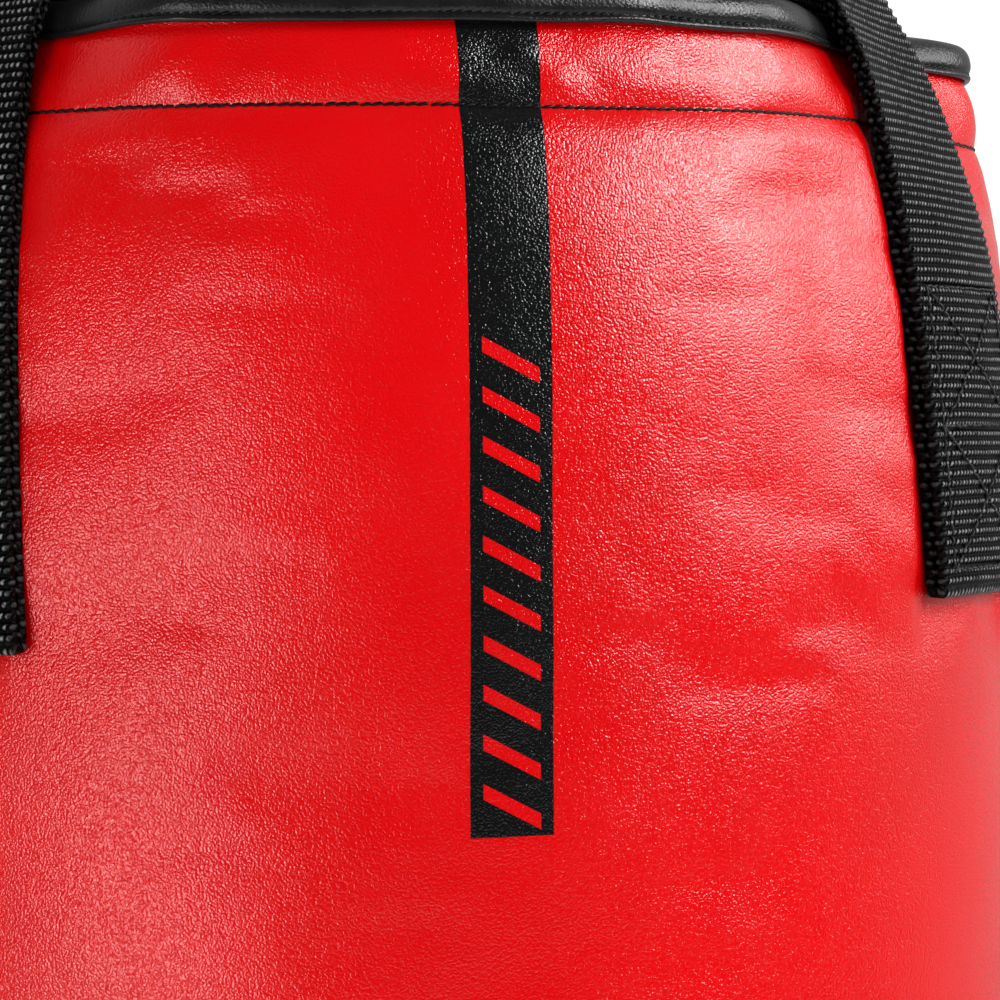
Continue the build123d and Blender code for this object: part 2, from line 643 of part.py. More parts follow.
# ---- filling --------------------------------------------------------------------------------
def turned_layer(top_depth, z_low, gap_out, gap_in=None):
    """Turned layer that follows the body under the straps, gap_out inside its outer face."""
    fade_depths = [d for d in (top_depth, 70.0, 110.0, 170.0, 240.0) if d >= top_depth]
    sides = [gap_out] if gap_in is None else [gap_out, gap_in]
    with BuildPart() as layer:
        for index, gap in enumerate(sides):
            with BuildSketch(Plane.XZ):
                with BuildLine():
                    edge = [(strap_radius(d) - gap, Z_BINDING - d) for d in fade_depths]
                    low = (BODY_RADIUS - SLIP - gap, z_low)
                    high = (0, edge[0][1])
                    Spline(*edge)
                    Line(edge[-1], low)
                    Line(low, (0, z_low))
                    Line((0, z_low), high)
                    Line(high, edge[0])
                make_face()
            revolve(axis=Axis.Z, mode=Mode.SUBTRACT if index else Mode.ADD)
    return layer.part


PAD_TOP = lid_top + LID_FLANGE + LID
Z_INSIDE = Z_BOTTOM + FLOOR_RISE
liner_out = LEATHER + BAND + SLIP
foam_out = liner_out + LINER + SLIP
fill_out = foam_out + FOAM + SLIP

save(turned_layer(PAD_TOP, Z_INSIDE, liner_out, liner_out + LINER), "liner")

with BuildPart() as top_pad:
    with BuildSketch(Plane.XY.offset(Z_BINDING - PAD_TOP - PAD)):
        Circle(strap_radius(PAD_TOP) - foam_out)
    extrude(amount=PAD)
save(top_pad.part, "top_pad")

with BuildPart() as bottom_pad:
    with BuildSketch(Plane.XY.offset(Z_INSIDE)):
        Circle(BODY_RADIUS - 2 * SLIP - foam_out)
    extrude(amount=BOTTOM_PAD)
save(bottom_pad.part, "bottom_pad")

foam_top = PAD_TOP + PAD + SLIP
z_foam = Z_INSIDE + BOTTOM_PAD + SLIP
save(turned_layer(foam_top, z_foam, foam_out, foam_out + FOAM), "foam_wrap")

z_core = z_foam + CORE_RISE
with BuildPart() as filling:
    add(turned_layer(foam_top, z_foam, fill_out))
    with BuildSketch(Plane.XY.offset(z_core)):
        Circle(CORE_RADIUS + SLIP)
    extrude(amount=CORE_HEIGHT, mode=Mode.SUBTRACT)
save(filling.part, "filling")

with BuildPart() as sand_core:
    with BuildSketch(Plane.XY.offset(z_core + SLIP)):
        Circle(CORE_RADIUS)
    extrude(amount=CORE_HEIGHT - 2 * SLIP)
save(sand_core.part, "sand_core")

# ---- bottom ---------------------------------------------------------------------------------
disc_flange = BODY_RADIUS - LEATHER - SLIP
Z_DISC = Z_BOTTOM - BOTTOM_SAG
with BuildPart() as bottom_disc:
    with BuildSketch(Plane.XZ):
        with BuildLine():
            Line((0, Z_DISC), (BOTTOM_FLAT, Z_DISC))
            corner = (disc_flange - LEATHER, Z_BOTTOM + BOTTOM_CORNER)
            TangentArc((BOTTOM_FLAT, Z_DISC), corner, tangent=(1, 0))
            Line(corner, (corner[0], Z_CORNER))
            Line((corner[0], Z_CORNER), (disc_flange, Z_CORNER))
            Line((disc_flange, Z_CORNER), (disc_flange, corner[1] + LEATHER))
            TangentArc(
                (BOTTOM_FLAT, Z_DISC + LEATHER), (disc_flange, corner[1] + LEATHER), tangent=(1, 0)
            )
            Line((BOTTOM_FLAT, Z_DISC + LEATHER), (0, Z_DISC + LEATHER))
            Line((0, Z_DISC + LEATHER), (0, Z_DISC))
        make_face()
    revolve(axis=Axis.Z)
save(bottom_disc.part, "bottom_disc")

with BuildPart() as bottom_binding:
    with BuildSketch(Plane.XZ):
        with BuildLine():
            low, high = Z_BOTTOM, Z_BOTTOM + BINDING_HEIGHT
            outer_r, inner_r = BODY_RADIUS + SLIP / 2, corner[0] - SLIP / 2
            fold = Z_CORNER - SLIP / 2
            Polyline(
                (outer_r, high),
                (outer_r + BINDING, high),
                (outer_r + BINDING, low),
                (inner_r - BINDING, low),
                (inner_r - BINDING, corner[1] - LEATHER),
                (inner_r, corner[1] - LEATHER),
                (inner_r, fold),
                (outer_r, fold),
                close=True,
            )
        make_face()
    revolve(axis=Axis.Z)
save(bottom_binding.part, "bottom_binding")

# ---- floor anchor ---------------------------------------------------------------------------
tunnel = ANCHOR_WIRE + ANCHOR_PLAY
anchor_z = Z_DISC - SLIP - tunnel
with BuildPart() as anchor_webbing:
    with BuildSketch(Plane.XZ):
        with Locations((0, Z_DISC - SLIP - ANCHOR_PLY / 2)):
            Rectangle(2 * ANCHOR_WEB_HALF_LENGTH, ANCHOR_PLY)
        with Locations((0, anchor_z)):
            Circle(tunnel + ANCHOR_PLY)
        with Locations((0, Z_DISC - SLIP + ANCHOR_WEB / 2)):
            Rectangle(ANCHOR_WEB, ANCHOR_WEB, mode=Mode.SUBTRACT)
        with Locations((0, anchor_z)):
            Circle(tunnel, mode=Mode.SUBTRACT)
        with Locations((0, anchor_z + tunnel)):
            Rectangle(2 * tunnel, 2 * tunnel, mode=Mode.SUBTRACT)
    extrude(amount=ANCHOR_WEB / 2, both=True)
save(anchor_webbing.part, "anchor_webbing")

with BuildPart() as anchor_ring:
    with Locations(Plane(origin=(0, 0, anchor_z), x_dir=(0, 1, 0), z_dir=(1, 0, 0)).location):
        with Locations(Location((0, 0, 0), (0, 0, 180))):
            add(d_loop(ANCHOR_HALF, ANCHOR_CORNER, ANCHOR_WIRE))
save(anchor_ring.part, "anchor_ring")
print("anchor pin height", round(anchor_z, 3), "gate pin", round(gate_pin_z, 3))
print("snap top", round(snap_top, 3), "snap bottom", round(snap_bottom, 3))
print("ring bar", round(ring_bar, 3), "pull pin", round(bail_z, 3))
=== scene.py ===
"""Looks of a heavy punching bag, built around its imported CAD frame.

Metres, +Z up, -Y the front. An angle phi is measured round the bag's axis from the front, positive
towards +X, and a depth is measured down from the lower edge of the rim's binding.
"""

import json
import math

import bpy
import numpy as np
from mathutils import Matrix, Vector


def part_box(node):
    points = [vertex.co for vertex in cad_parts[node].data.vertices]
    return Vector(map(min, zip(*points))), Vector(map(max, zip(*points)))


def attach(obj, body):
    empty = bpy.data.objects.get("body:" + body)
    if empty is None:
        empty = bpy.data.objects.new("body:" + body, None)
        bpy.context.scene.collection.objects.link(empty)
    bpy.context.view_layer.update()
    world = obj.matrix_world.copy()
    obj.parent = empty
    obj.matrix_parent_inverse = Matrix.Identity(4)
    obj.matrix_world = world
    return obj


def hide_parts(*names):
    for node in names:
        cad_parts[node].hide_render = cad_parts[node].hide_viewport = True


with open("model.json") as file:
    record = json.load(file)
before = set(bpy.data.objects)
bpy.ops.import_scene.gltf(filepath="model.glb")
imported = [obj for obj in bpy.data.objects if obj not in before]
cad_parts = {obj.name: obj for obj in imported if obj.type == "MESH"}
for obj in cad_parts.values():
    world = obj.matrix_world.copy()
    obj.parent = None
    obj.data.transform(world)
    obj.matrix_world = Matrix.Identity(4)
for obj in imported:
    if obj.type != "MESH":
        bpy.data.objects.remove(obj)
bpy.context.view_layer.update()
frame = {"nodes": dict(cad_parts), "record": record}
MM = 0.001

# ---- sizes, as in the CAD model ----
Z_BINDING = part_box("rim_binding")[0].z
Z_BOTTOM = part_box("bottom_binding")[0].z
BODY_RADIUS = 175 * MM
LEATHER = 2.5 * MM
BINDING_HEIGHT = 8 * MM
SHELL_TOP = -6.5 * MM
SHELL_BOTTOM = Z_BINDING - Z_BOTTOM - 1.5 * MM
SEAM_DEPTH = 18 * MM
RIM_PULL_MID = 12 * MM
RIM_PULL_STRAP = 24.8 * MM
MID_DEPTH = 35 * MM
STRAP_DEPTH = 47 * MM
VALLEY = (math.radians(7), math.radians(29))
VALLEY_AT_RIM = math.radians(22.5)

WEB_WIDTH = 50 * MM
WEB_PLY = 2.05 * MM
WEB_THICKER = 0.4 * MM
STRAP_END = 130 * MM
STRAP_RISE = 88 * MM
STRAP_GAP = 0.4 * MM
PLY_ROUNDING = 0.3 * MM
D_WIRE = 3.25 * MM
LEAN = math.atan(RIM_PULL_STRAP / STRAP_DEPTH)
STRAP_ANGLES = {"front_right": 45, "rear_right": 135, "rear_left": 225, "front_left": 315}
# Straps are sewn on a little askew: sideways place at the rim, slope with depth, and extra length
STRAP_SLANT = {45: (-0.4 * MM, 0.04, -0.024), 135: (0.0, -0.012, 0.01), 225: (0.0, 0.015, -0.01),
               315: (-0.4 * MM, 0.062, 0.014)}

# Straps turn a little about their length, in degrees, where they pass the rim, between these heights
STRAP_TWIST = {45: 6.5, 135: -4, 225: 3, 315: -1}
TWIST_RISE = (-55 * MM, 14 * MM)
TWIST_FALL = (34 * MM, 78 * MM)

STRIPE_HALF = 9 * MM
STRIPE_LENGTH = 172 * MM
STRIPE_SHIFT = 0.75 * MM
STRIPE_SLOPE = 0.0163
STRIPE_BLUR = 0.12 * MM
# Slanted bars in the stripe's lower half
BAR_PITCH = 10.5 * MM
BAR_HALF = 6.2 * MM
BAR_MARGIN = 2.5 * MM
BAR_ROW = 100 * MM
BAR_SLOPE = 0.55

RIB_PITCH = 2.3 * MM
BEAD_PITCH = 1.65 * MM
BINDING_PITCH = 2.3 * MM
GRAIN = 0.58 * MM

# Cloth simulation of the leather's top: its grid, and how much of its wrinkles is used
SIM_COLUMNS, SIM_ROWS, SIM_REACH, SIM_FRAMES = 144, 48, 280 * MM, 20
WRINKLE_GAIN = 0.34
WRINKLE_CAP = 0.7 * MM
SMOOTHING_PASSES = 30

rng = np.random.default_rng(7)


# ---- materials ----
def scaled(colour, factor):
    return tuple(factor * c for c in colour)


class Nodes:
    """Short hand for building one node material."""

    def __init__(self, name):
        self.material = bpy.data.materials.new(name)
        self.material.use_nodes = True
        self.tree = self.material.node_tree
        self.shader = self.tree.nodes["Principled BSDF"]
        # Object coordinates: the row frame, in metres
        self.place = self.add("TexCoord").outputs["Object"]

    def add(self, kind, **values):
        """New node; values name its properties or its inputs."""
        node = self.tree.nodes.new("ShaderNode" + kind)
        for key, value in values.items():
            if hasattr(node, key):
                setattr(node, key, value)
            else:
                self.feed(node.inputs[key.replace("_", " ")], value)
        return node

    def feed(self, socket, value):
        if isinstance(value, bpy.types.NodeSocket):
            self.tree.links.new(value, socket)
        else:
            socket.default_value = value

    def set(self, **values):
        for key, value in values.items():
            self.feed(self.shader.inputs[key.replace("_", " ")], value)
        return self.material

    def math(self, operation, *values, kind="Math"):
        node = self.add(kind, operation=operation)
        for socket, value in zip(node.inputs, values):
            self.feed(socket, value)
        return node.outputs[0]

    def plus(self, a, b):
        return self.math("ADD", a, b)

    def minus(self, a, b):
        return self.math("SUBTRACT", a, b)

    def times(self, a, b):
        return self.math("MULTIPLY", a, b)

    def size(self, a):
        return self.math("ABSOLUTE", a)

    def sine(self, a, factor):
        return self.math("SINE", self.times(a, factor))

    def split(self, vector):
        return self.add("SeparateXYZ", Vector=vector).outputs

    def mix(self, factor, a, b):
        """Mix of two colours."""
        node = self.add("Mix", data_type="RGBA")
        for place, value in ((0, factor), (6, a), (7, b)):
            self.feed(node.inputs[place], (*value, 1) if isinstance(value, tuple) else value)
        return node.outputs[2]

    def ramp(self, value, low, high, to_low=0.0, to_high=1.0):
        node = self.add("MapRange", interpolation_type="SMOOTHSTEP")
        for socket, number in zip(node.inputs, (value, low, high, to_low, to_high)):
            self.feed(socket, number)
        return node.outputs[0]

    def below(self, value, limit, blur):
        """1 where the value is below a limit, and 0 above it."""
        return self.ramp(value, limit - blur, limit + blur, 1.0, 0.0)

    def noise(self, scale, detail=3.0, roughness=0.5, vector=None, output="Fac"):
        vector = self.place if vector is None else vector
        node = self.add("TexNoise", Vector=vector, Scale=scale, Detail=detail, Roughness=roughness)
        return node.outputs[output]

    def vary(self, low, high, scale, detail=3.0):
        """Number that drifts between about these two over the surface."""
        return self.ramp(self.noise(scale, detail), 0.3, 0.7, low, high)

    def cells(self, vector, scale):
        return self.add("TexVoronoi", Vector=vector, Scale=scale).outputs["Distance"]

    def finish(self, colour, roughness, height, depth, **others):
        """The finished material, with bumps of about that depth where height goes from 0 to 1."""
        normal = self.add("Bump", Strength=1.0, Distance=depth, Height=height).outputs["Normal"]
        return self.set(Base_Color=colour, Roughness=roughness, Normal=normal, **others)

    def jitter(self, scale, amount):
        """The place, moved about by noise."""
        noise = self.noise(scale, 2.0, output="Color")
        centred = self.math("SUBTRACT", noise, (0.5, 0.5, 0.5), kind="VectorMath")
        moved = self.math("MULTIPLY", centred, (amount, amount, amount), kind="VectorMath")
        return self.math("ADD", self.place, moved, kind="VectorMath")


def grain(n, size):
    """Leather grain: small crumpled pebbles of about that size."""
    crooked = n.jitter(0.7 / size, 0.7 * size)
    fine = n.times(n.noise(1.5 / size, 1.5, vector=crooked), 0.6)
    domes = n.minus(1.0, n.math("POWER", n.cells(crooked, 1 / size), 1.3))
    return n.plus(domes, fine)


def make_red_leather():
    """Coated red leather with the printed black stripe and its row of slanted bars."""
    n = Nodes("red_leather")
    x, y, z = n.split(n.place)
    leaning = n.plus(n.minus(x, STRIPE_SHIFT), n.times(n.minus(Z_BINDING, z), STRIPE_SLOPE))
    ragged = n.times(n.minus(n.noise(700), 0.5), 0.3 * MM)
    z_end = Z_BINDING - STRIPE_LENGTH
    inside = n.below(n.size(n.plus(leaning, ragged)), STRIPE_HALF, STRIPE_BLUR)
    inside = n.times(inside, n.ramp(z, z_end - STRIPE_BLUR, z_end + STRIPE_BLUR))
    inside = n.times(inside, n.math("LESS_THAN", y, 0.0))
    # Slanted bars knocked out of the stripe's lower half
    slanted = n.plus(z, n.times(x, BAR_SLOPE))
    phase = n.math("FRACT", n.math("DIVIDE", n.minus(slanted, z_end), BAR_PITCH))
    bar = n.below(n.size(n.minus(phase, 0.5)), 0.16, 0.01)
    narrow = n.below(n.size(leaning), BAR_HALF, 0.1 * MM)
    row_low = z_end + BAR_MARGIN
    row = n.times(n.math("GREATER_THAN", slanted, row_low), n.math("LESS_THAN", slanted, row_low + BAR_ROW))
    bars = n.times(n.times(bar, narrow), row)
    ink = n.times(inside, n.minus(1.0, bars))
    red = n.mix(n.ramp(n.noise(14), 0.3, 0.7), (0.53, 0.0005, 0.0024), (0.48, 0.0004, 0.0018))
    colour = n.mix(ink, red, (0.006, 0.006, 0.0065))
    return n.finish(colour, n.vary(0.13, 0.17, 60, 4.0), grain(n, GRAIN), 0.11 * MM, Specular_IOR_Level=0.7)


def make_black_leather(name, grain_size, depth, roughness):
    """Glossy black binding leather."""
    n = Nodes(name)
    colour = n.mix(n.noise(40, 4.0), (0.005, 0.005, 0.0055), (0.011, 0.011, 0.012))
    return n.finish(colour, n.vary(roughness - 0.05, roughness + 0.07, 120), grain(n, grain_size), depth)


def make_webbing():
    """Black ribbed webbing. UV is in millimetres: across the web, then along it."""
    n = Nodes("strap_webbing")
    across, along, _ = n.split(n.add("UVMap").outputs[0])
    rib = n.math("DIVIDE", along, RIB_PITCH / MM)
    odd = n.math("FRACT", n.times(n.math("FLOOR", rib), 0.5))
    wobble = n.times(n.minus(n.noise(300, 2.0), 0.5), 0.6)
    lean = n.times(n.math("FRACT", rib), -0.45)
    column = n.plus(n.plus(n.plus(n.math("DIVIDE", across, BEAD_PITCH / MM), odd), wobble), lean)
    bead, crest = n.size(n.sine(column, math.pi)), n.size(n.sine(rib, math.pi))
    thread = n.times(n.math("POWER", bead, 1.1), n.math("POWER", crest, 1.5))
    height = n.plus(thread, n.times(n.noise(3500, 2.0), 0.25))
    # Painted highlight: the threads' crowns are painted grey in patches, and hardly at all along the web's
    # edges
    wear_and_highlight = n.times(n.ramp(thread, 0.38, 0.9), n.ramp(n.noise(900), 0.25, 0.65))
    edge = WEB_WIDTH / 2 / MM
    wear_and_highlight = n.times(wear_and_highlight, n.ramp(n.size(across), edge - 1.3, edge - 0.5, 1.0, 0.2))
    colour = n.mix(wear_and_highlight, (0.0004, 0.0004, 0.0005), (0.24, 0.24, 0.24))
    return n.finish(colour, n.vary(0.28, 0.42, 1500), height, 0.5 * MM, Specular_IOR_Level=0.08)


def make_thread(name, colour, roughness):
    """Twisted sewing thread."""
    n = Nodes(name)
    strands = n.noise(2600, 2.0)
    # Painted shade: the thread is darker where its strands' bumps are low
    mixed = n.mix(strands, scaled(colour, 0.5), colour)
    return n.finish(mixed, roughness, strands, 0.12 * MM, Specular_IOR_Level=0.3)


def make_weave(name, colour, pitch, depth, roughness=0.6):
    """Plain woven cloth, in the row frame's X and Y or round the bag."""
    n = Nodes(name)
    x, y, z = n.split(n.jitter(40, 0.3 * MM))
    warp, weft = n.sine(n.plus(x, z), math.tau / pitch), n.sine(n.minus(y, z), math.tau / pitch)
    height = n.plus(n.times(warp, weft), n.times(n.noise(2500, 2.0), 0.6))
    # Painted shade: the cloth is darker in the weave's hollows, where its height is low
    mixed = n.mix(n.ramp(height, -0.6, 1.2), scaled(colour, 0.55), colour)
    rough = n.vary(roughness - 0.08, roughness + 0.1, 90, 4.0)
    return n.finish(mixed, rough, height, depth, Sheen_Weight=0.1)


def make_steel(name, colour, roughness, brushed=0.0):
    """Plated or ground steel with fine scratches and a slightly uneven shine."""
    n = Nodes(name)
    drawn_out = n.add("Mapping", Vector=n.place, Scale=(1.0, 1.0, 0.06)).outputs[0]
    scratches = n.noise(4200, 3.0, 0.7, drawn_out)
    cloud = n.noise(160, 5.0, 0.6)
    mixed = n.mix(n.ramp(cloud, 0.35, 0.75), colour, scaled(colour, 0.72))
    rough = n.ramp(cloud, 0.3, 0.75, roughness - 0.06, roughness + 0.14)
    uneven = n.plus(scratches, n.times(n.noise(420), 1.5))
    return n.finish(mixed, rough, uneven, (0.012 + 0.02 * brushed) * MM, Metallic=1.0)


def make_paint(name, colour, roughness):
    """Powder coat with a fine orange peel, worn bright in specks."""
    n = Nodes(name)
    wear_and_highlight = n.ramp(n.noise(330, 6.0, 0.75), 0.70, 0.76)
    mixed = n.mix(wear_and_highlight, colour, (0.32, 0.31, 0.30))
    rough = n.vary(roughness - 0.05, roughness + 0.1, 70)
    return n.finish(mixed, rough, n.noise(1400, 2.0), 0.05 * MM)


def make_plastic(name, colour, roughness):
    """Moulded plastic or rubber with a fine matte texture."""
    n = Nodes(name)
    texture = n.noise(3000)
    mixed = n.mix(n.noise(200), colour, scaled(colour, 0.7))
    rough = n.ramp(texture, 0.3, 0.7, roughness - 0.05, roughness + 0.08)
    return n.finish(mixed, rough, texture, 0.03 * MM)


def make_fill(name, light, dark, size):
    """Loose or foamed stuffing: mottled, rough and lumpy."""
    n = Nodes(name)
    lumps = n.cells(n.jitter(0.5 / size, size), 1 / size)
    mixed = n.mix(n.ramp(n.noise(0.6 / size, 4.0), 0.35, 0.65), light, dark)
    height = n.minus(n.times(n.noise(900, 4.0, 0.7), 0.4), lumps)
    return n.finish(mixed, 0.9, height, 0.25 * size)


RED_LEATHER = make_red_leather()
BLACK_LEATHER = make_black_leather("black_binding", 0.75 * MM, 0.07 * MM, 0.3)
BASE_LEATHER = make_black_leather("black_base", 1.3 * MM, 0.12 * MM, 0.4)
WEBBING = make_webbing()
DARK_THREAD = make_thread("dark_thread", (0.003, 0.003, 0.003), 0.45)
GREY_THREAD = make_thread("grey_thread", (0.03, 0.03, 0.032), 0.4)
LID_CLOTH = make_weave("lid_fabric", (0.03, 0.03, 0.033), 1.1 * MM, 0.15 * MM)
TAPE_CLOTH = make_weave("zip_tape", (0.02, 0.02, 0.022), 0.8 * MM, 0.12 * MM, 0.7)
BAND_CLOTH = make_weave("stiff_band", (0.03, 0.03, 0.032), 1.6 * MM, 0.25 * MM, 0.65)

NODE_MATERIALS = {}
for make, name, *values in (
        (make_weave, "liner_cloth", (0.5, 0.48, 0.44), 0.9 * MM, 0.12 * MM, 0.8),
        (make_paint, "housing_paint", (0.022, 0.022, 0.024), 0.38),
        (make_steel, "polished_steel", (0.6, 0.6, 0.61), 0.2),
        (make_plastic, "seal_rubber", (0.02, 0.02, 0.02), 0.7),
        (make_steel, "zinc_steel", (0.54, 0.55, 0.58), 0.27, 0.4),
        (make_plastic, "zip_plastic", (0.03, 0.03, 0.032), 0.42),
        (make_steel, "zip_metal", (0.16, 0.16, 0.17), 0.3),
        (make_fill, "pad_foam", (0.36, 0.37, 0.39), (0.28, 0.29, 0.31), 2.5 * MM),
        (make_fill, "textile_fill", (0.5, 0.46, 0.44), (0.22, 0.24, 0.32), 14 * MM),
        (make_fill, "sand_fill", (0.6, 0.52, 0.38), (0.48, 0.4, 0.27), 3 * MM)):
    NODE_MATERIALS[name] = make(name, *values)
for row in frame["record"]["subparts"]:
    if row["material_slot"] in NODE_MATERIALS:
        for material_slot in frame["nodes"][row["node"]].material_slots:
            material_slot.material = NODE_MATERIALS[row["material_slot"]]


# ---- mesh helpers ----
def unit(vectors):
    return vectors / np.maximum(np.linalg.norm(vectors, axis=-1, keepdims=True), 1e-12)


def bell(x, width):
    return np.exp(-((x / width) ** 2))


def circle(count):
    """Angles all round, one to a row."""
    return np.linspace(0, math.tau, count, endpoint=False)[:, None]


def round_axis(radius, phi, z):
    """Points at a radius and an angle round the bag's axis, and at a height."""
    return np.stack(np.broadcast_arrays(radius * np.sin(phi), -radius * np.cos(phi), z), axis=-1)


def wrapped_faces(index, turned=False):
    """Faces between the rows of a grid of point numbers whose columns close round."""
    a, b = index[:-1], index[1:]
    corners = [a, np.roll(a, -1, 1), np.roll(b, -1, 1), b]
    if turned:
        corners[1], corners[3] = corners[3], corners[1]
    return np.stack(corners, axis=-1).reshape(-1, 4).tolist()


def add_object(name, data):
    thing = bpy.data.objects.new(name, data)
    bpy.context.collection.objects.link(thing)
    return thing


def mesh_object(name, points, faces, material=None):
    mesh = bpy.data.meshes.new(name)
    mesh.from_pydata(points.reshape(-1, 3).tolist(), [], faces)
    if material is not None:
        mesh.materials.append(material)
    return add_object(name, mesh)


def skin(name, loops, material, ring=False, uv=None):
    """Closed mesh over an array (stations, points, 3) of closed loops. The ends are capped in strips."""
    stations, count, _ = loops.shape
    index = np.arange(stations * count).reshape(stations, count)
    faces = wrapped_faces(np.vstack([index, index[:1]]) if ring else index)
    if not ring:
        half = count // 2
        for loop, flip in ((index[0], True), (index[-1], False)):
            near, far = loop[:half], loop[::-1][:half]
            for i in range(half - 1):
                cap = [near[i], near[i + 1], far[i + 1], far[i]]
                faces.append([int(v) for v in (cap[::-1] if flip else cap)])
    thing = mesh_object(name, loops, faces, material)
    mesh = thing.data
    mesh.shade_smooth()
    if uv is not None:
        corner = np.empty(len(mesh.loops), dtype=np.int64)
        mesh.loops.foreach_get("vertex_index", corner)
        layer = mesh.uv_layers.new(name="UVMap")
        layer.data.foreach_set("uv", uv.reshape(-1, 2)[corner].astype(np.float32).ravel())
    fix_normals(thing)
    return thing


def fix_normals(thing):
    """Turns a closed mesh inside out if its volume comes out negative."""
    mesh = thing.data
    mesh.calc_loop_triangles()
    points = np.empty(len(mesh.vertices) * 3)
    mesh.vertices.foreach_get("co", points)
    corners = np.empty(len(mesh.loop_triangles) * 3, dtype=np.int64)
    mesh.loop_triangles.foreach_get("vertices", corners)
    t = points.reshape(-1, 3)[corners.reshape(-1, 3)]
    if np.einsum("ij,ij->i", t[:, 0], np.cross(t[:, 1], t[:, 2])).sum() < 0:
        mesh.flip_normals()


def soft_part(node, slot, *shape, **how):
    """Piece that rides on the bag and stands for a CAD node, whose part it hides; its finish is the material
    given with its shape, and the slot is not used.
    """
    piece = skin(node, *shape, **how)
    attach(piece, "bag")
    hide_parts(node)
    return piece


def stitches(name, starts, ends, normals, radius, rise, material):
    """Row of thread stitches: each comes up at its start, lies over the surface and goes in at its end."""
    steps, sides = 7, 6
    t = np.linspace(0, 1, steps)[None, :, None]
    arch = np.sin(np.pi * t) ** 0.5
    centre = starts[:, None] * (1 - t) + ends[:, None] * t
    centre = centre + normals[:, None] * (arch * rise - (1 - arch) * radius)
    run = unit(ends - starts)[:, None, None]
    up = normals[:, None, None]
    side = unit(np.cross(run, up))
    angle = circle(sides)[None, None]
    ring = centre[:, :, None] + radius * (np.cos(angle) * side + np.sin(angle) * up)
    count = len(starts)
    index = np.arange(count * steps * sides).reshape(count, steps, sides)
    a, b = index[:, :-1], index[:, 1:]
    quads = np.stack([a, b, np.roll(b, -1, 2), np.roll(a, -1, 2)], axis=-1).reshape(-1, 4).tolist()
    caps = index[:, 0].tolist() + index[:, -1, ::-1].tolist()
    thing = mesh_object(name, ring, quads + caps, material)
    thing.data.shade_smooth()
    fix_normals(thing)
    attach(thing, "bag")


# ---- shape of the leather ----
def waves(count, low, high, reach, seed):
    """Smooth random field over phi and depth, as a sum of waves, about 1 high."""
    random = np.random.default_rng(seed)
    turns = random.integers(low, high, count)
    slope = random.normal(0, math.tau / reach, count)
    phase = random.uniform(0, math.tau, count)

    def field(phi, depth):
        total = np.zeros(np.broadcast(phi, depth).shape)
        for n, m, p in zip(turns, slope, phase):
            total += np.cos(n * phi + m * depth + p)
        return total / math.sqrt(count)

    return field


slow_waves = waves(14, 3, 16, 0.16, 3)
pucker_waves = waves(16, 18, 52, 0.05, 5)
fold_waves = waves(12, 8, 30, 0.05, 11)


def smooth_step(x, low, high):
    t = np.clip((x - low) / (high - low), 0, 1)
    return t * t * (3 - 2 * t)


def twist(azimuth, height):
    """How far a strap turns about its own length near the rim, in radians."""
    low, high = TWIST_RISE
    start, end = TWIST_FALL
    turn = smooth_step(height, low, high) * (1 - smooth_step(height, start, end))
    return math.radians(STRAP_TWIST[azimuth]) * turn


def from_strap(phi):
    """Angle from the middle of the nearest strap."""
    return np.mod(phi, math.pi / 2) - math.pi / 4


def plain_radius(phi, depth):
    """Outer radius of the leather without its small relief."""
    below = np.maximum(depth, 0)
    mid = BODY_RADIUS - RIM_PULL_MID * np.exp(-((below / MID_DEPTH) ** 1.3)) + 0.1 * np.minimum(depth, 0)
    strap = BODY_RADIUS - RIM_PULL_STRAP * np.exp(-below / STRAP_DEPTH)
    strap = strap + RIM_PULL_STRAP * np.minimum(depth, 0) / STRAP_DEPTH
    across = from_strap(phi)
    start, end = VALLEY
    end = VALLEY_AT_RIM + (end - VALLEY_AT_RIM) * smooth_step(depth, 6 * MM, 42 * MM)
    at_strap = 1 - smooth_step(np.abs(across), start, end)
    for azimuth in STRAP_TWIST:
        here = np.cos(phi - math.radians(azimuth)) > math.cos(math.pi / 4)
        strap = strap - here * across * BODY_RADIUS * np.sin(twist(azimuth, -depth))
    return mid * (1 - at_strap) + strap * at_strap


def seam_wander(phi):
    """The horizontal stitch line isn't quite level."""
    rise = 1.0 * MM * np.sin(2 * phi) ** 2
    return SEAM_DEPTH - rise + 0.2 * MM * np.sin(5 * phi + 0.6) + 0.12 * MM * np.sin(13 * phi)


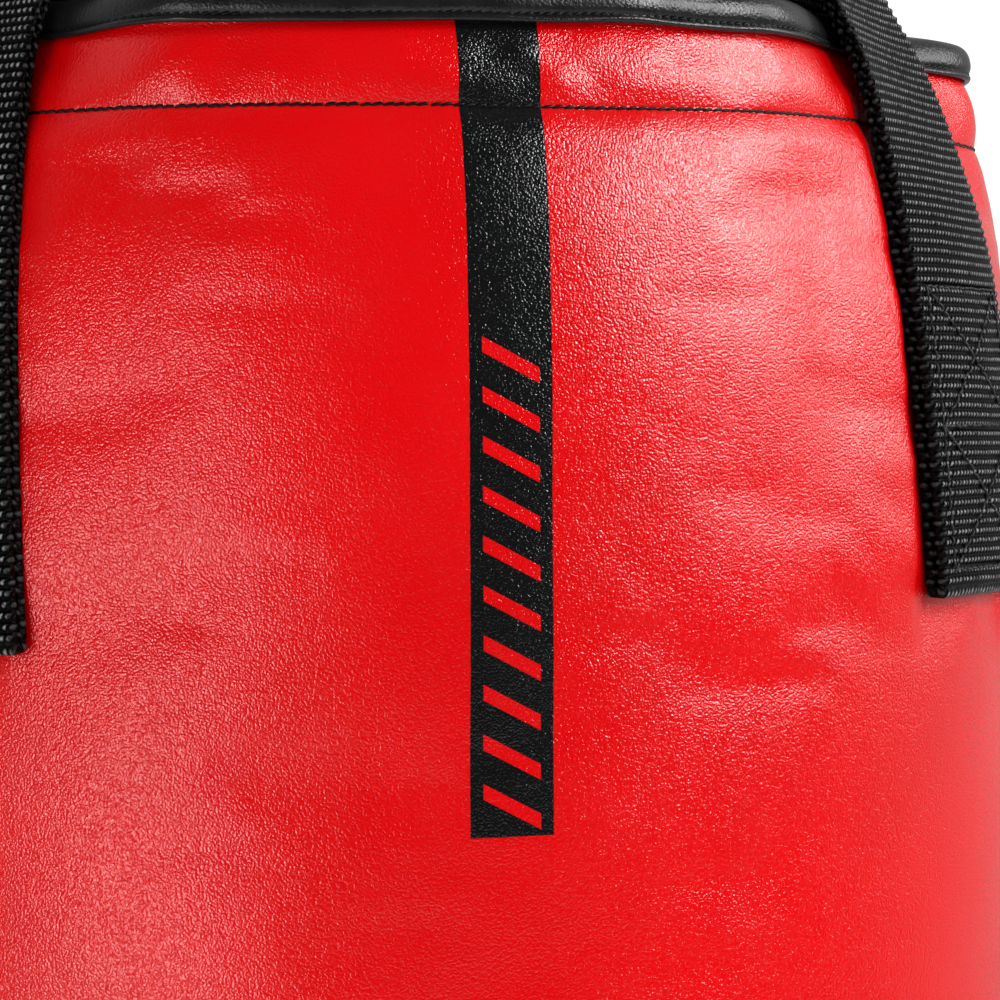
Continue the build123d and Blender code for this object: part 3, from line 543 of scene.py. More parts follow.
def simulate_wrinkles():
    """Cloth simulation of the leather's top: filled from within and held at its seams and straps.

    Returns how far each grid point stands out from its surroundings.
    """
    phi = circle(SIM_COLUMNS).T
    depth = np.linspace(0, SIM_REACH, SIM_ROWS)[:, None]
    radius = plain_radius(phi, depth) + 0.3 * MM * slow_waves(phi, depth)
    index = np.arange(SIM_ROWS * SIM_COLUMNS).reshape(SIM_ROWS, SIM_COLUMNS)
    faces = wrapped_faces(index, turned=True)
    cloth_piece = mesh_object("simulated", round_axis(radius, phi, Z_BINDING - depth), faces)
    across = np.abs(from_strap(phi)) * BODY_RADIUS
    held = (across < 22 * MM) & (depth < 125 * MM)
    held = held | (np.abs(depth - SEAM_DEPTH) < 3.2 * MM)
    held[0] = held[-1] = True
    pins = cloth_piece.vertex_groups.new(name="pins")
    pins.add(index[held].tolist(), 1.0, "REPLACE")
    cloth = cloth_piece.modifiers.new("cloth", "CLOTH")
    for key, value in {"vertex_group_mass": "pins", "quality": 6, "mass": 0.3, "tension_stiffness": 20,
                       "compression_stiffness": 20, "bending_stiffness": 1.5, "shrink_min": -0.02,
                       "use_pressure": True, "uniform_pressure_force": 4}.items():
        setattr(cloth.settings, key, value)
    cloth.settings.effector_weights.gravity = 0
    cloth.collision_settings.use_collision = False
    scene = bpy.context.scene
    for step in range(1, SIM_FRAMES + 1):
        scene.frame_set(step)
    shaped = cloth_piece.evaluated_get(bpy.context.evaluated_depsgraph_get()).data
    moved = np.empty(SIM_ROWS * SIM_COLUMNS * 3)
    shaped.vertices.foreach_get("co", moved)
    moved = moved.reshape(SIM_ROWS, SIM_COLUMNS, 3)
    scene.frame_set(1)
    bpy.data.objects.remove(cloth_piece)
    out = np.hypot(moved[..., 0], moved[..., 1]) - radius
    smooth = out
    for _ in range(SMOOTHING_PASSES):
        smooth = (smooth + np.roll(smooth, 1, 1) + np.roll(smooth, -1, 1)) / 3
        padded = np.vstack([smooth[:1], smooth, smooth[-1:]])
        smooth = (padded[:-2] + smooth + padded[2:]) / 3
    return np.clip(WRINKLE_GAIN * (out - smooth), -WRINKLE_CAP, WRINKLE_CAP)


WRINKLES = simulate_wrinkles()


def wrinkles(phi, depth):
    """The simulated wrinkles at any place, read from their grid by smooth steps."""
    phi, depth = np.broadcast_arrays(phi, depth)
    column = np.mod(phi, math.tau) / math.tau * SIM_COLUMNS
    row = np.clip(depth / SIM_REACH, 0, 1) * (SIM_ROWS - 1)
    c, r = np.floor(column).astype(int), np.minimum(np.floor(row).astype(int), SIM_ROWS - 2)
    x, y = smooth_step(column - c, 0, 1), smooth_step(row - r, 0, 1)
    c, c1 = c % SIM_COLUMNS, (c + 1) % SIM_COLUMNS
    top, low = (WRINKLES[k, c] * (1 - x) + WRINKLES[k, c1] * x for k in (r, r + 1))
    fade = 1 - smooth_step(depth, 0.55 * SIM_REACH, 0.92 * SIM_REACH)
    return (top * (1 - y) + low * y) * fade


def relief(phi, depth):
    """Small relief of the leather: swelling, puckers at the seams and dimples."""
    lower = SHELL_BOTTOM - depth
    free = smooth_step(depth, 0, 60 * MM) * smooth_step(lower, 0, 50 * MM)
    beside = np.abs(from_strap(phi)) * BODY_RADIUS - WEB_WIDTH / 2
    swell = smooth_step(beside, -2.5 * MM, 1.2 * MM) * (1 - smooth_step(beside, 3 * MM, 34 * MM))
    swell = swell * smooth_step(depth, 2 * MM, 22 * MM) * (1 - smooth_step(depth, 112 * MM, 150 * MM))
    height = 0.5 * MM * slow_waves(phi, depth) * free + 2.3 * MM * swell + wrinkles(phi, depth)
    # The stitched seam below the rim, and the binding's edge
    seam = depth - seam_wander(phi)
    under = bell(np.maximum(seam, 0), 11 * MM) * (seam > 0)
    height = height + 0.3 * MM * pucker_waves(phi, depth) * (bell(depth - 9 * MM, 7 * MM) + 0.6 * under)
    height = height - 0.75 * MM * np.exp(-np.abs(seam) / (1.1 * MM))
    height = height - 0.8 * MM * bell(seam, np.where(seam < 0, 5 * MM, 15 * MM))
    height = height + 0.35 * MM * bell(depth - 7 * MM, 5 * MM) - 0.5 * MM * bell(depth, 1.6 * MM)
    # The seam at the bottom and the two side seams
    height = height + 0.4 * MM * pucker_waves(phi, 0.3 * lower) * bell(lower, 16 * MM)
    side = BODY_RADIUS * np.minimum.reduce([np.abs(phi - turns * math.pi) for turns in (0.5, -0.5, 1.5)])
    height = height - 1.3 * MM * bell(side, 1.5 * MM)
    height = height + 0.25 * MM * fold_waves(phi * 0, depth * 6) * bell(side, 14 * MM) * free
    for angle, slant, *lengths in DIMPLES:
        deep, wide, tall, amount = (length * MM for length in lengths)
        across, down = (phi - math.radians(angle)) * BODY_RADIUS, depth - deep
        height = height - amount * bell(across + slant * down, wide) * bell(down - slant * across, tall)
    return height


# Soft dimples: angle in degrees and slant, then in millimetres their depth down the bag and three sizes
DIMPLES = [
    (34, 0.5, 106, 11, 5, 0.7),
    (30, 0.7, 122, 14, 5, -0.5),
    (9, -0.6, 118, 3.5, 9, 0.22),
    (12, -0.5, 126, 4, 10, 0.2),
    (-22, 0.4, 126, 9, 5, 0.35),
    (27, 0.9, 62, 16, 6, 0.45),
]


def leather_point(phi, depth, lift=0.0):
    """Point of the leather's outer face, or lift outside it."""
    return round_axis(plain_radius(phi, depth) + relief(phi, depth) + lift, phi, Z_BINDING - depth)


def leather_frame(phi, depth):
    """Point and outward normal of the leather's outer face."""
    step = 0.2 * MM
    here = leather_point(phi, depth)
    across = leather_point(phi + step / BODY_RADIUS, depth) - here
    down = leather_point(phi, depth + step) - here
    return here, unit(np.cross(down, across))


def graded(knots):
    """Depths from a list of (depth, spacing) knots."""
    depths = []
    for (start, spacing), (end, _) in zip(knots, knots[1:]):
        depths.extend(np.arange(start, end - 0.3 * spacing, spacing))
    return np.array([*depths, knots[-1][0]])


PANEL_COLUMNS = 260
ROWS = graded([(SHELL_TOP, 1.6 * MM), (-1 * MM, 0.5 * MM), (3 * MM, 1.2 * MM), (15 * MM, 0.5 * MM),
               (21 * MM, 1.5 * MM), (60 * MM, 2.5 * MM), (220 * MM, 6 * MM), (SHELL_BOTTOM - 40 * MM, 3 * MM),
               (SHELL_BOTTOM, 0)])


def make_panel(name, start, end):
    """Half of the leather body, as a closed sheet."""
    edge = np.array([0, 0.4, 0.8, 1.3, 2.0, 3.0]) * MM / BODY_RADIUS
    inner = np.linspace(start + edge[-1], end - edge[-1], PANEL_COLUMNS)[1:-1]
    phi = np.concatenate([start + edge, inner, (end - edge)[::-1]])
    outer = leather_point(phi[None, :], ROWS[:, None])
    inner_face = leather_point(phi[None, :], ROWS[:, None], -LEATHER)
    loops = np.concatenate([outer, inner_face[:, ::-1]], axis=1)
    panel = soft_part(name, "red_leather", loops, RED_LEATHER)


make_panel("front_panel", -math.pi / 2, math.pi / 2)
make_panel("back_panel", math.pi / 2, 1.5 * math.pi)


def seam_row(name, depth_of, pitch, length, radius, rise):
    """Stitches round the bag at a depth."""
    count = int(math.tau * BODY_RADIUS / pitch)
    phi = math.tau * (np.arange(count) + 0.5) / count
    phi = phi + rng.normal(0, 0.06 * pitch / BODY_RADIUS, count)
    half = length / 2 / BODY_RADIUS
    slant = 0.22 * MM
    a, normal = leather_frame(phi - half, depth_of(phi - half) + slant)
    b, _ = leather_frame(phi + half, depth_of(phi + half) - slant + rng.normal(0, 0.08 * MM, count))
    stitches(name, a, b, normal, radius, rise, DARK_THREAD)


seam_row("rim_seam_stitches", seam_wander, 2.6 * MM, 3.1 * MM, 0.38 * MM, 0.1 * MM)
seam_row("base_seam_stitches", lambda phi: SHELL_BOTTOM - 16 * MM, 2.9 * MM, 2.3 * MM, 0.3 * MM, 0.14 * MM)


def side_stitches(name, phi0):
    """Two rows of top stitching beside a side seam."""
    depths = np.arange(4 * MM, SHELL_BOTTOM - 9 * MM, 3.4 * MM)
    rows = []
    for side in (-1, 1):
        phi = phi0 + side * 3.6 * MM / BODY_RADIUS + 0 * depths
        a, normal = leather_frame(phi, depths)
        b, _ = leather_frame(phi, depths + 2.7 * MM)
        rows.append((a, b, normal))
    a, b, normal = (np.concatenate(group) for group in zip(*rows))
    stitches(name, a, b, normal, 0.3 * MM, 0.12 * MM, DARK_THREAD)


side_stitches("right_side_stitches", math.pi / 2)
side_stitches("left_side_stitches", 1.5 * math.pi)


# ---- bindings ----
# Outer half of a folded binding's outline, in millimetres: outwards from the leather's face, and up
OUTER_FOLD = [(0.05, 0.5), (0.3, 0.08), (0.9, -0.06), (1.45, 0.12), (1.75, 0.55), (1.72, 1.05), (1.42, 1.45),
              (1.12, 1.72), (1.38, 2.0), (1.8, 2.65), (2.05, 3.6), (2.08, 4.9), (1.9, 6.2), (1.45, 7.4),
              (0.6, 8.4), (-0.5, 9.0), (-1.8, 9.35), (-2.55, 9.4)]


def fold_outline(width):
    """Outline of a binding folded over an edge of that width: outwards, and up from its free edge."""
    mirrored = [(-width - out, up) for out, up in OUTER_FOLD[-2::-1]]
    inside = [(-width, 0.6), (-width, 3.0), (-width, 6.3), (0.0, 6.3), (0.0, 3.0)]
    return (np.array(OUTER_FOLD + mirrored + inside) * MM).T[:, None]


GROOVE = 1.72 * MM


def fold_binding(name, loops):
    piece = soft_part(name, "black_binding", loops, BLACK_LEATHER, ring=True)
    modifier = piece.modifiers.new("subdivision", "SUBSURF")
    modifier.levels = modifier.render_levels = 1


def rim_lift(phi):
    """The rim isn't quite level."""
    return 0.25 * MM * fold_waves(phi, 0 * phi)


def make_rim_binding():
    out, up = fold_outline(5.0)
    phi = circle(540)
    # The thread draws the groove in at each stitch
    pinch = 0.12 * MM * np.cos(phi * BODY_RADIUS / BINDING_PITCH * math.tau)
    pinch = pinch * bell(up - GROOVE, 0.5 * MM) * (out > 0)
    soft = 0.12 * MM * pucker_waves(phi, 0 * phi) * (up > 1.0 * MM)
    radius = plain_radius(phi, -up) + out + pinch + soft
    fold_binding("rim_binding", round_axis(radius, phi, Z_BINDING + up + rim_lift(phi)))
    count = int(math.tau * BODY_RADIUS / BINDING_PITCH)
    middle = (np.arange(count) + 0.5) / count * math.tau
    half = 1.15 * MM / BODY_RADIUS

    def at(angle, slant):
        height = Z_BINDING + GROOVE + 0.06 * MM + slant + rim_lift(angle)
        return round_axis(plain_radius(angle, 0 * angle - GROOVE) + 1.2 * MM, angle, height)

    stitches("binding_stitches", at(middle - half, -0.28 * MM), at(middle + half, 0.28 * MM),
             round_axis(1, middle, 0), 0.3 * MM, 0.12 * MM, DARK_THREAD)


make_rim_binding()


def make_base_binding():
    out, up = fold_outline(5.3)
    phi = circle(360)
    radius = BODY_RADIUS + 0.05 * MM + 0.8 * out + 0.1 * MM * pucker_waves(phi, 0 * phi)
    fold_binding("bottom_binding", round_axis(radius, phi, Z_BOTTOM + BINDING_HEIGHT - up * 0.84))
    middle = np.arange(0, math.tau, BINDING_PITCH / BODY_RADIUS)
    half = 0.95 * MM / BODY_RADIUS
    a, b = (round_axis(BODY_RADIUS + 0.95 * MM, angle, Z_BOTTOM + BINDING_HEIGHT - 1.44 * MM)
            for angle in (middle - half, middle + half))
    stitches("base_binding_stitches", a, b, round_axis(1, middle, 0), 0.27 * MM, 0.1 * MM, GREY_THREAD)


make_base_binding()


# ---- straps ----
def half_ply(height):
    """Half the webbing's thickness, which grows where the layers are folded and sewn on the bag."""
    return WEB_PLY / 2 + WEB_THICKER * smooth_step(-height, 18 * MM, 52 * MM)


def strap_profile():
    """Closed path of one webbing loop in its radial plane: distance from the axis, and height."""
    ply = WEB_PLY / 2
    start = np.array([BODY_RADIUS - RIM_PULL_STRAP + 2 * MM + WEB_PLY * math.cos(LEAN),
                      WEB_PLY * math.sin(LEAN)])
    rising = np.array([-math.sin(LEAN), math.cos(LEAN)])
    side = np.array([math.cos(LEAN), math.sin(LEAN)])
    bar_gap = D_WIRE + 0.2 * MM + ply

    def on_body(depth, lift):
        pull = RIM_PULL_STRAP - 2 * MM + STRAP_GAP
        fade = np.exp(-depth / STRAP_DEPTH)
        lean = np.arctan(pull / STRAP_DEPTH * fade)
        radius = BODY_RADIUS + STRAP_GAP - pull * fade
        return np.stack([radius + lift * np.cos(lean), lift * np.sin(lean) - depth], axis=-1)

    def free(t, sign):
        spread = ply + (bar_gap - ply) * smooth_step(t, 26 * MM, 80 * MM)
        return start + t[:, None] * rising + sign * spread[:, None] * side

    depth = np.linspace(0, STRAP_END - WEB_PLY, 400)[1:]
    t = np.linspace(0, STRAP_RISE, 240)
    turn = np.linspace(0, math.pi, 40)[1:-1]
    bar = start + STRAP_RISE * rising
    over = bar + bar_gap * (np.cos(turn)[:, None] * side + np.sin(turn)[:, None] * rising)
    end = half_ply(-STRAP_END)
    low = on_body(depth[-1], 2 * end)
    under = np.stack([low[0] - end * np.cos(turn), low[1] - end * np.sin(turn)], axis=-1)
    outer = on_body(depth, 3 * half_ply(-depth))
    inner = on_body(depth, half_ply(-depth))
    return np.concatenate([outer[::-1], free(t, 1), over, free(t[::-1], -1), inner, under])


class StrapPath:
    """The strap's path by its length, starting at the lower end of the outer ply."""

    def __init__(self):
        points = strap_profile()
        closed = np.vstack([points, points[:1]])
        steps = np.linalg.norm(np.diff(closed, axis=0), axis=1)
        self.length = np.concatenate([[0], np.cumsum(steps)])
        self.total = self.length[-1]
        self.points = closed

    def at(self, s):
        s = np.mod(s, self.total)
        return np.stack([np.interp(s, self.length, self.points[:, k]) for k in (0, 1)], axis=-1)

    def by_depth(self, depth):
        outer = np.argmax(self.points[:, 1])
        return np.interp(-depth, self.points[:outer, 1], self.length[:outer])

    def normal(self, s):
        run = unit(self.at(s + 0.3 * MM) - self.at(s - 0.3 * MM))
        return np.stack([run[..., 1], -run[..., 0]], axis=-1)


PATH = StrapPath()
RIBS = round(PATH.total / RIB_PITCH)
BOX_HALF = 20.5 * MM
BOX_LEVELS = [PATH.by_depth(np.array(d * MM)) for d in (57, 90, 124)]


def box_seams(low, high, half):
    """A box with its two diagonals, as line ends across and along the web."""
    return [((-half, low), (half, low)), ((-half, high), (half, high)), ((-half, low), (-half, high)),
            ((half, low), (half, high)), ((-half, low), (half, high)), ((half, low), (-half, high))]


STRAP_SEAMS = (box_seams(BOX_LEVELS[1], BOX_LEVELS[0], BOX_HALF)
               + box_seams(BOX_LEVELS[2], BOX_LEVELS[1], BOX_HALF))


def along_lines(lines, pitch, first, last):
    """For each line, its stitches' starts and ends, at these shares of their pitch."""
    for line in lines:
        a, b = np.array(line)
        count = max(2, round(np.linalg.norm(b - a) / pitch))
        t = np.arange(count)[:, None]
        yield a + (t + first) / count * (b - a), a + (t + last) / count * (b - a)


def seam_press(u, s):
    """How far the seams press the webbing in: 0 away from them, 1 on one."""
    press = np.zeros(np.broadcast(u, s).shape)
    for (u0, s0), (u1, s1) in STRAP_SEAMS:
        length2 = (u1 - u0) ** 2 + (s1 - s0) ** 2
        t = np.clip(((u - u0) * (u1 - u0) + (s - s0) * (s1 - s0)) / length2, 0, 1)
        gap2 = (u - u0 - t * (u1 - u0)) ** 2 + (s - s0 - t * (s1 - s0)) ** 2
        press = np.maximum(press, np.exp(-gap2 / (1.1 * MM) ** 2))
    return press


def strap_sag(s, u):
    """How far the strap's edges bend back round the bag."""
    height = PATH.at(s)[..., 1]
    depth = np.maximum(-height, 0)
    angle = WEB_WIDTH / 2 / BODY_RADIUS
    quarter = math.pi / 4
    middle = plain_radius(quarter, depth)
    edge = plain_radius(quarter - angle, depth) * math.cos(angle)
    hold = smooth_step(-height, -50 * MM, 0)
    return (middle - edge) * hold * (u / (WEB_WIDTH / 2)) ** 2


def on_strap(azimuth, radius, u, height):
    """Points out from the axis towards a strap, across the strap and at a height."""
    phi = math.radians(azimuth)
    out = np.array([math.sin(phi), -math.cos(phi), 0])
    across = np.array([math.cos(phi), math.sin(phi), 0])
    return radius[..., None] * out + u[..., None] * across + height[..., None] * np.array([0, 0, 1.0])


def strap_points(azimuth, s, u, lift):
    """Points at a length s along the strap, u across it and lift off its middle."""
    centre, normal = PATH.at(s), PATH.normal(s)
    radius = centre[..., 0] + lift * normal[..., 0] - strap_sag(s, u)
    start, slope, stretch = STRAP_SLANT[azimuth]
    height = Z_BINDING + centre[..., 1] + lift * normal[..., 1] + stretch * np.minimum(centre[..., 1], 0)
    hold = 1 - smooth_step(centre[..., 1], 0, STRAP_RISE - 12 * MM)
    turn = twist(azimuth, centre[..., 1])
    radius = radius - u * np.sin(turn)
    return on_strap(azimuth, radius, u * np.cos(turn) + hold * (start - slope * centre[..., 1]), height)


def rib_height(u, s, seed):
    """Ribs across the webbing, flattened where it is sewn."""
    wander = 0.18 * MM * np.sin(u / (9 * MM) + seed) + 0.15 * MM * np.sin(s / (7 * MM) + u / (21 * MM) + seed)
    phase = (s + wander) / PATH.total * RIBS
    rib = np.abs(np.sin(math.pi * phase)) ** 2.2
    press = seam_press(u, s)
    return 0.6 * MM * rib * (1 - 0.5 * press) - 0.4 * MM * press, phase


def make_strap(place, azimuth, seed):
    """One loop of ribbed webbing."""
    stations, edge = RIBS * 6, 0.9 * MM
    half = WEB_WIDTH / 2 - edge
    s = (np.arange(stations) / stations * PATH.total)[:, None]
    face = np.linspace(-1, 1, 34)[None, :] * half
    core = half_ply(PATH.at(s)[..., 1]) - PLY_ROUNDING
    up, _ = rib_height(face, s, seed)
    down, _ = rib_height(face[:, ::-1], s, seed)
    rim = np.linspace(0, math.pi, 7)[1:-1][None, :]
    bulge, _ = rib_height(0 * rim + WEB_WIDTH / 2, s, seed)
    reach = half + (edge + 0.2 * bulge) * np.sin(rim)
    thick = (core + 0.45 * bulge) * np.cos(rim)
    u = np.concatenate([face + 0 * s, reach, face[:, ::-1] + 0 * s, -reach], axis=1)
    lift = np.concatenate([core + up, thick, -core - down, -thick], axis=1)
    uv = np.stack([u / MM, rib_height(u, s, seed)[1] * RIB_PITCH / MM], axis=-1)
    loops = strap_points(azimuth, s + 0 * u, u, lift)
    soft_part(f"strap_{place}", "strap_webbing", loops, WEBBING, ring=True, uv=uv)


def make_strap_stitches(place, azimuth, seed):
    """Thread of the crossed boxes on the strap's outer face."""
    random = np.random.default_rng(seed)
    rows = [[ends + random.normal(0, 0.15 * MM, (2, len(ends))).T for ends in pair]
            for pair in along_lines(STRAP_SEAMS, 2.9 * MM, 0.06, 0.94)]
    start, end = (np.concatenate(group).T for group in zip(*rows))
    lift = half_ply(PATH.at(start[1])[:, 1]) - 0.28 * MM
    a, b, above = (strap_points(azimuth, along, across, up) for (across, along), up in
                   ((start, lift), (end, lift), (start, lift + MM)))
    stitches(f"strap_stitches_{place}", a, b, unit(above - a), 0.3 * MM, 0.28 * MM, GREY_THREAD)


for number, (place, azimuth) in enumerate(STRAP_ANGLES.items()):
    make_strap(place, azimuth, 2.0 * number)
    make_strap_stitches(place, azimuth, 40 + number)


def relax(line, passes):
    """Rounds a line of points off between its ends."""
    for _ in range(passes):
        line[1:-1] = (line[:-2] + 2 * line[1:-1] + line[2:]) / 4


def web_section(path, side, half, count, core, rib, under):
    """Ribbed web along a path in a plane: its outline's points in that plane, and across it."""
    run = unit(np.gradient(path, axis=0))
    normal = side * np.stack([run[:, 1], -run[:, 0]], axis=-1)
    face = np.linspace(-1, 1, count)[None, :] * half
    turn = np.linspace(0, math.pi, 6)[1:-1][None, :]
    edge, bend = half + 0.8 * MM * np.sin(turn), core * np.cos(turn) + 0 * rib
    u = np.concatenate([face, edge, face[:, ::-1], -edge], axis=1) + 0 * rib
    lift = np.concatenate([core + rib + 0 * face, bend, -core - under * rib + 0 * face, -bend], axis=1)
    return path[:, None] + lift[..., None] * normal[:, None], u


def make_tab(place, azimuth):
    """The webbing's other end: from the strap down inside the rim, where it is sewn to the band."""
    knots_z = np.array([64, 50, 34, 18, 6, -4, -13]) * MM
    rim = plain_radius(math.pi / 4, 0.0) - 9.2 * MM
    free = PATH.at(PATH.by_depth(np.minimum(-knots_z, 0)))[:, 0] - 2.4 * WEB_PLY
    share = smooth_step(knots_z, 4 * MM, 66 * MM)
    z = np.linspace(knots_z[0], knots_z[-1], 34 * 5)
    r = np.interp(-z, -knots_z, rim * (1 - share) + free * share)
    relax(r, 200)
    s = np.arange(len(z))[:, None] / 5
    rib = 0.45 * MM * np.abs(np.sin(math.pi * s)) ** 2.2
    points, u = web_section(np.stack([r, z], axis=-1), -1, WEB_WIDTH / 2 - 1.2 * MM, 20,
                            WEB_PLY / 2 - PLY_ROUNDING, rib, 1)
    uv = np.stack([u / MM, s * RIB_PITCH / MM + 0 * u], axis=-1)
    loops = on_strap(azimuth, points[..., 0], u, Z_BINDING + points[..., 1])
    tab = skin(f"strap_tab_{place}", loops, WEBBING, uv=uv)
    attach(tab, "bag")


for place, azimuth in STRAP_ANGLES.items():
    make_tab(place, azimuth)


# ---- lid and zip ----
LID_DEPTH = 15 * MM
LID = 2 * MM
LID_FLANGE = 14 * MM
LID_INSET = 5.2 * MM
ZIP_HALF = 132 * MM
SLOT_HALF = 5.2 * MM
Z_LID_SEAM = Z_BINDING - LID_DEPTH + 0.15 * MM


def lid_height(x, y, share):
    """The lid's cloth: a shallow sag with puckers near its sewn rim."""
    angle = np.arctan2(x, -y)
    sag = -1.6 * MM * (1 - share**2) * smooth_step(np.abs(y), 6 * MM, 60 * MM)
    ripple = 0.8 * MM * pucker_waves(angle, 0 * angle) * smooth_step(share, 0.55, 0.95)
    return sag + ripple * (1 - smooth_step(share, 0.97, 1.0))


def make_lid():
    phi = circle(360)
    share = np.linspace(0, 1, 34)[None, :]
    rim = plain_radius(phi, LID_DEPTH + 0 * phi) - LID_INSET
    slot_y = -SLOT_HALF * np.clip(np.cos(phi) * 9, -1, 1)
    x = ZIP_HALF * np.sin(phi) * (1 - share) + rim * np.sin(phi) * share
    y = slot_y * (1 - share) - rim * np.cos(phi) * share
    z_top = Z_BINDING - LID_DEPTH + lid_height(x, y, share)
    top = np.stack([x, y, z_top], axis=-1)
    low = np.stack([x, y, z_top - LID], axis=-1)[:, ::-1]
    depth = LID_DEPTH + np.linspace(0, 1, 6)[1:][None, :] * LID_FLANGE
    out = plain_radius(phi, depth) - LID_INSET
    flange = round_axis(out, phi, Z_BINDING - depth)
    inner = round_axis(out - 1.5 * MM, phi, Z_BINDING - depth)[:, ::-1]
    loops = np.concatenate([top, flange, inner, low[:, 2:]], axis=1)
    soft_part("lid_panel", "lid_fabric", loops, LID_CLOTH, ring=True)
    along = np.arange(-ZIP_HALF + 2 * MM, ZIP_HALF - 2 * MM, 3 * MM)
    a = np.concatenate([np.stack(np.broadcast_arrays(along, side * (SLOT_HALF + gap), Z_LID_SEAM), axis=-1)
                        for side in (-1, 1) for gap in (2.2 * MM, 7 * MM)])
    up = np.tile([0, 0, 1.0], (len(a), 1))
    stitches("zip_stitches", a, a + np.array([2.5 * MM, 0, 0]), up, 0.26 * MM, 0.15 * MM, GREY_THREAD)


make_lid()


def make_tape(node):
    """Flat strip of cloth that fills the zip tape's box, with soft edges and slight waves."""
    low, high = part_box(node)
    x = np.linspace(low.x, high.x, int((high.x - low.x) / (2 * MM)))[:, None]
    turn = circle(28).T + 0 * x
    y, z = ((a + b) / 2 + (b - a) / 2 * np.sign(wave) * np.abs(wave) ** 0.35
            for a, b, wave in ((low.y, high.y, np.cos(turn)), (low.z, high.z, np.sin(turn))))
    z = z + 0.15 * MM * np.sin(x / (11 * MM)) * 0.5
    soft_part(node, "zip_tape", np.stack([x + 0 * y, y, z], axis=-1), TAPE_CLOTH)


for node in ("zip_tape_front", "zip_tape_rear"):
    make_tape(node)


def make_rim_band():
    """Stiff band behind the leather, seen above the lid."""
    phi = circle(360)
    depth = np.array([-6.3, -4, 0, 5, 10, 15, 20, 26, 30, 34]) * MM
    loop_depth = np.concatenate([depth, depth[::-1]])[None, :]
    inset = np.repeat([2.8 * MM, 5.0 * MM], len(depth))[None, :]
    loops = round_axis(plain_radius(phi, loop_depth) - inset, phi, Z_BINDING - loop_depth)
    soft_part("rim_band", "stiff_band", loops, BAND_CLOTH, ring=True)


make_rim_band()


# ---- bottom ----
def make_base():
    """Leather disc that closes the bottom, drawn into puckers at its seam."""
    low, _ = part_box("bottom_disc")
    flat, rim = 85 * MM, BODY_RADIUS - 5.3 * MM
    radius = np.concatenate([np.linspace(0.5 * MM, flat, 14), np.linspace(flat, rim, 26)[1:]])[None, :]
    phi = circle(360)
    share = np.clip((radius - flat) / (rim - flat), 0, 1)
    rise = 13 * MM * (1 - np.sqrt(1 - 0.86 * share**2)) / (1 - math.sqrt(0.14))
    pucker = 0.9 * MM * pucker_waves(phi, 0 * phi) * smooth_step(share, 0.45, 0.95)
    z = low.z + rise + pucker * (1 - smooth_step(share, 0.97, 1))
    loops = [round_axis(radius, phi, z), round_axis(radius, phi, z + LEATHER)[:, ::-1]]
    soft_part("bottom_disc", "black_binding", np.concatenate(loops, axis=1), BASE_LEATHER, ring=True)


make_base()


def make_anchor_web():
    """Webbing strip under the bag, with a tunnel round the D-ring's bar."""
    low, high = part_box("anchor_webbing")
    _, ring_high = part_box("anchor_ring")
    ply, wire = 2.1 * MM, 2.5 * MM
    bar_z, flat_z = ring_high.z - wire, high.z - wire / 2
    reach = 2.85 * MM + ply / 2
    half = (high.x - low.x) / 2
    angle = np.linspace(0.28, math.pi - 0.28, 40)
    tunnel = np.stack([-reach * np.cos(angle), bar_z - reach * np.sin(angle)], axis=-1)
    left = np.stack([np.linspace(-half, -9 * MM, 60), np.full(60, flat_z)], axis=-1)
    middle = np.concatenate([left, tunnel, left[::-1] * [-1, 1]])
    relax(middle, 14)
    steps = np.concatenate([[0], np.cumsum(np.linalg.norm(np.diff(middle, axis=0), axis=1))])
    s = np.linspace(0, steps[-1], int(steps[-1] / RIB_PITCH) * 5)
    path = np.stack([np.interp(s, steps, line) for line in middle.T], axis=-1)
    rib = 0.3 * MM * np.abs(np.sin(math.pi * s / RIB_PITCH))[:, None] ** 0.7
    core = ply / 2 - 0.15 * MM
    points, u = web_section(path, 1, (high.y - low.y) / 2 - 0.8 * MM, 24, core, rib, 0.2)
    loops = np.stack([points[..., 0], u, points[..., 1]], axis=-1)
    uv = np.stack([u / MM, s[:, None] / MM + 0 * u], axis=-1)
    soft_part("anchor_webbing", "strap_webbing", loops, WEBBING, uv=uv)
    seams = box_seams(-14 * MM, -64 * MM, 14 * MM) + box_seams(14 * MM, 64 * MM, 14 * MM)
    rows = zip(*along_lines(seams, 3 * MM, 0, 0.88))
    # The seams' lines are across and along the web, which are Y and X here
    a, b = (np.insert(np.concatenate(group)[:, ::-1], 2, flat_z - core - 0.1 * MM, axis=1) for group in rows)
    stitches("anchor_stitches", a, b, np.tile([0, 0, -1.0], (len(a), 1)), 0.3 * MM, 0.3 * MM, GREY_THREAD)


make_anchor_web()


# ---- camera, light and floor ----
CAMERA_DISTANCE = 0.818
CAMERA_DROP = 0.0834
CAMERA_SIDE = math.radians(-11.8)
CAMERA_YAW = math.radians(2.87)
CAMERA_PITCH = math.radians(-1.585)
CAMERA_ROLL = math.radians(-0.93)
WORLD_DIM, WORLD_BRIGHT = 0.66, 1.02
FLAG_DIM, FLAG_BRIGHT = 0.01, 0.55


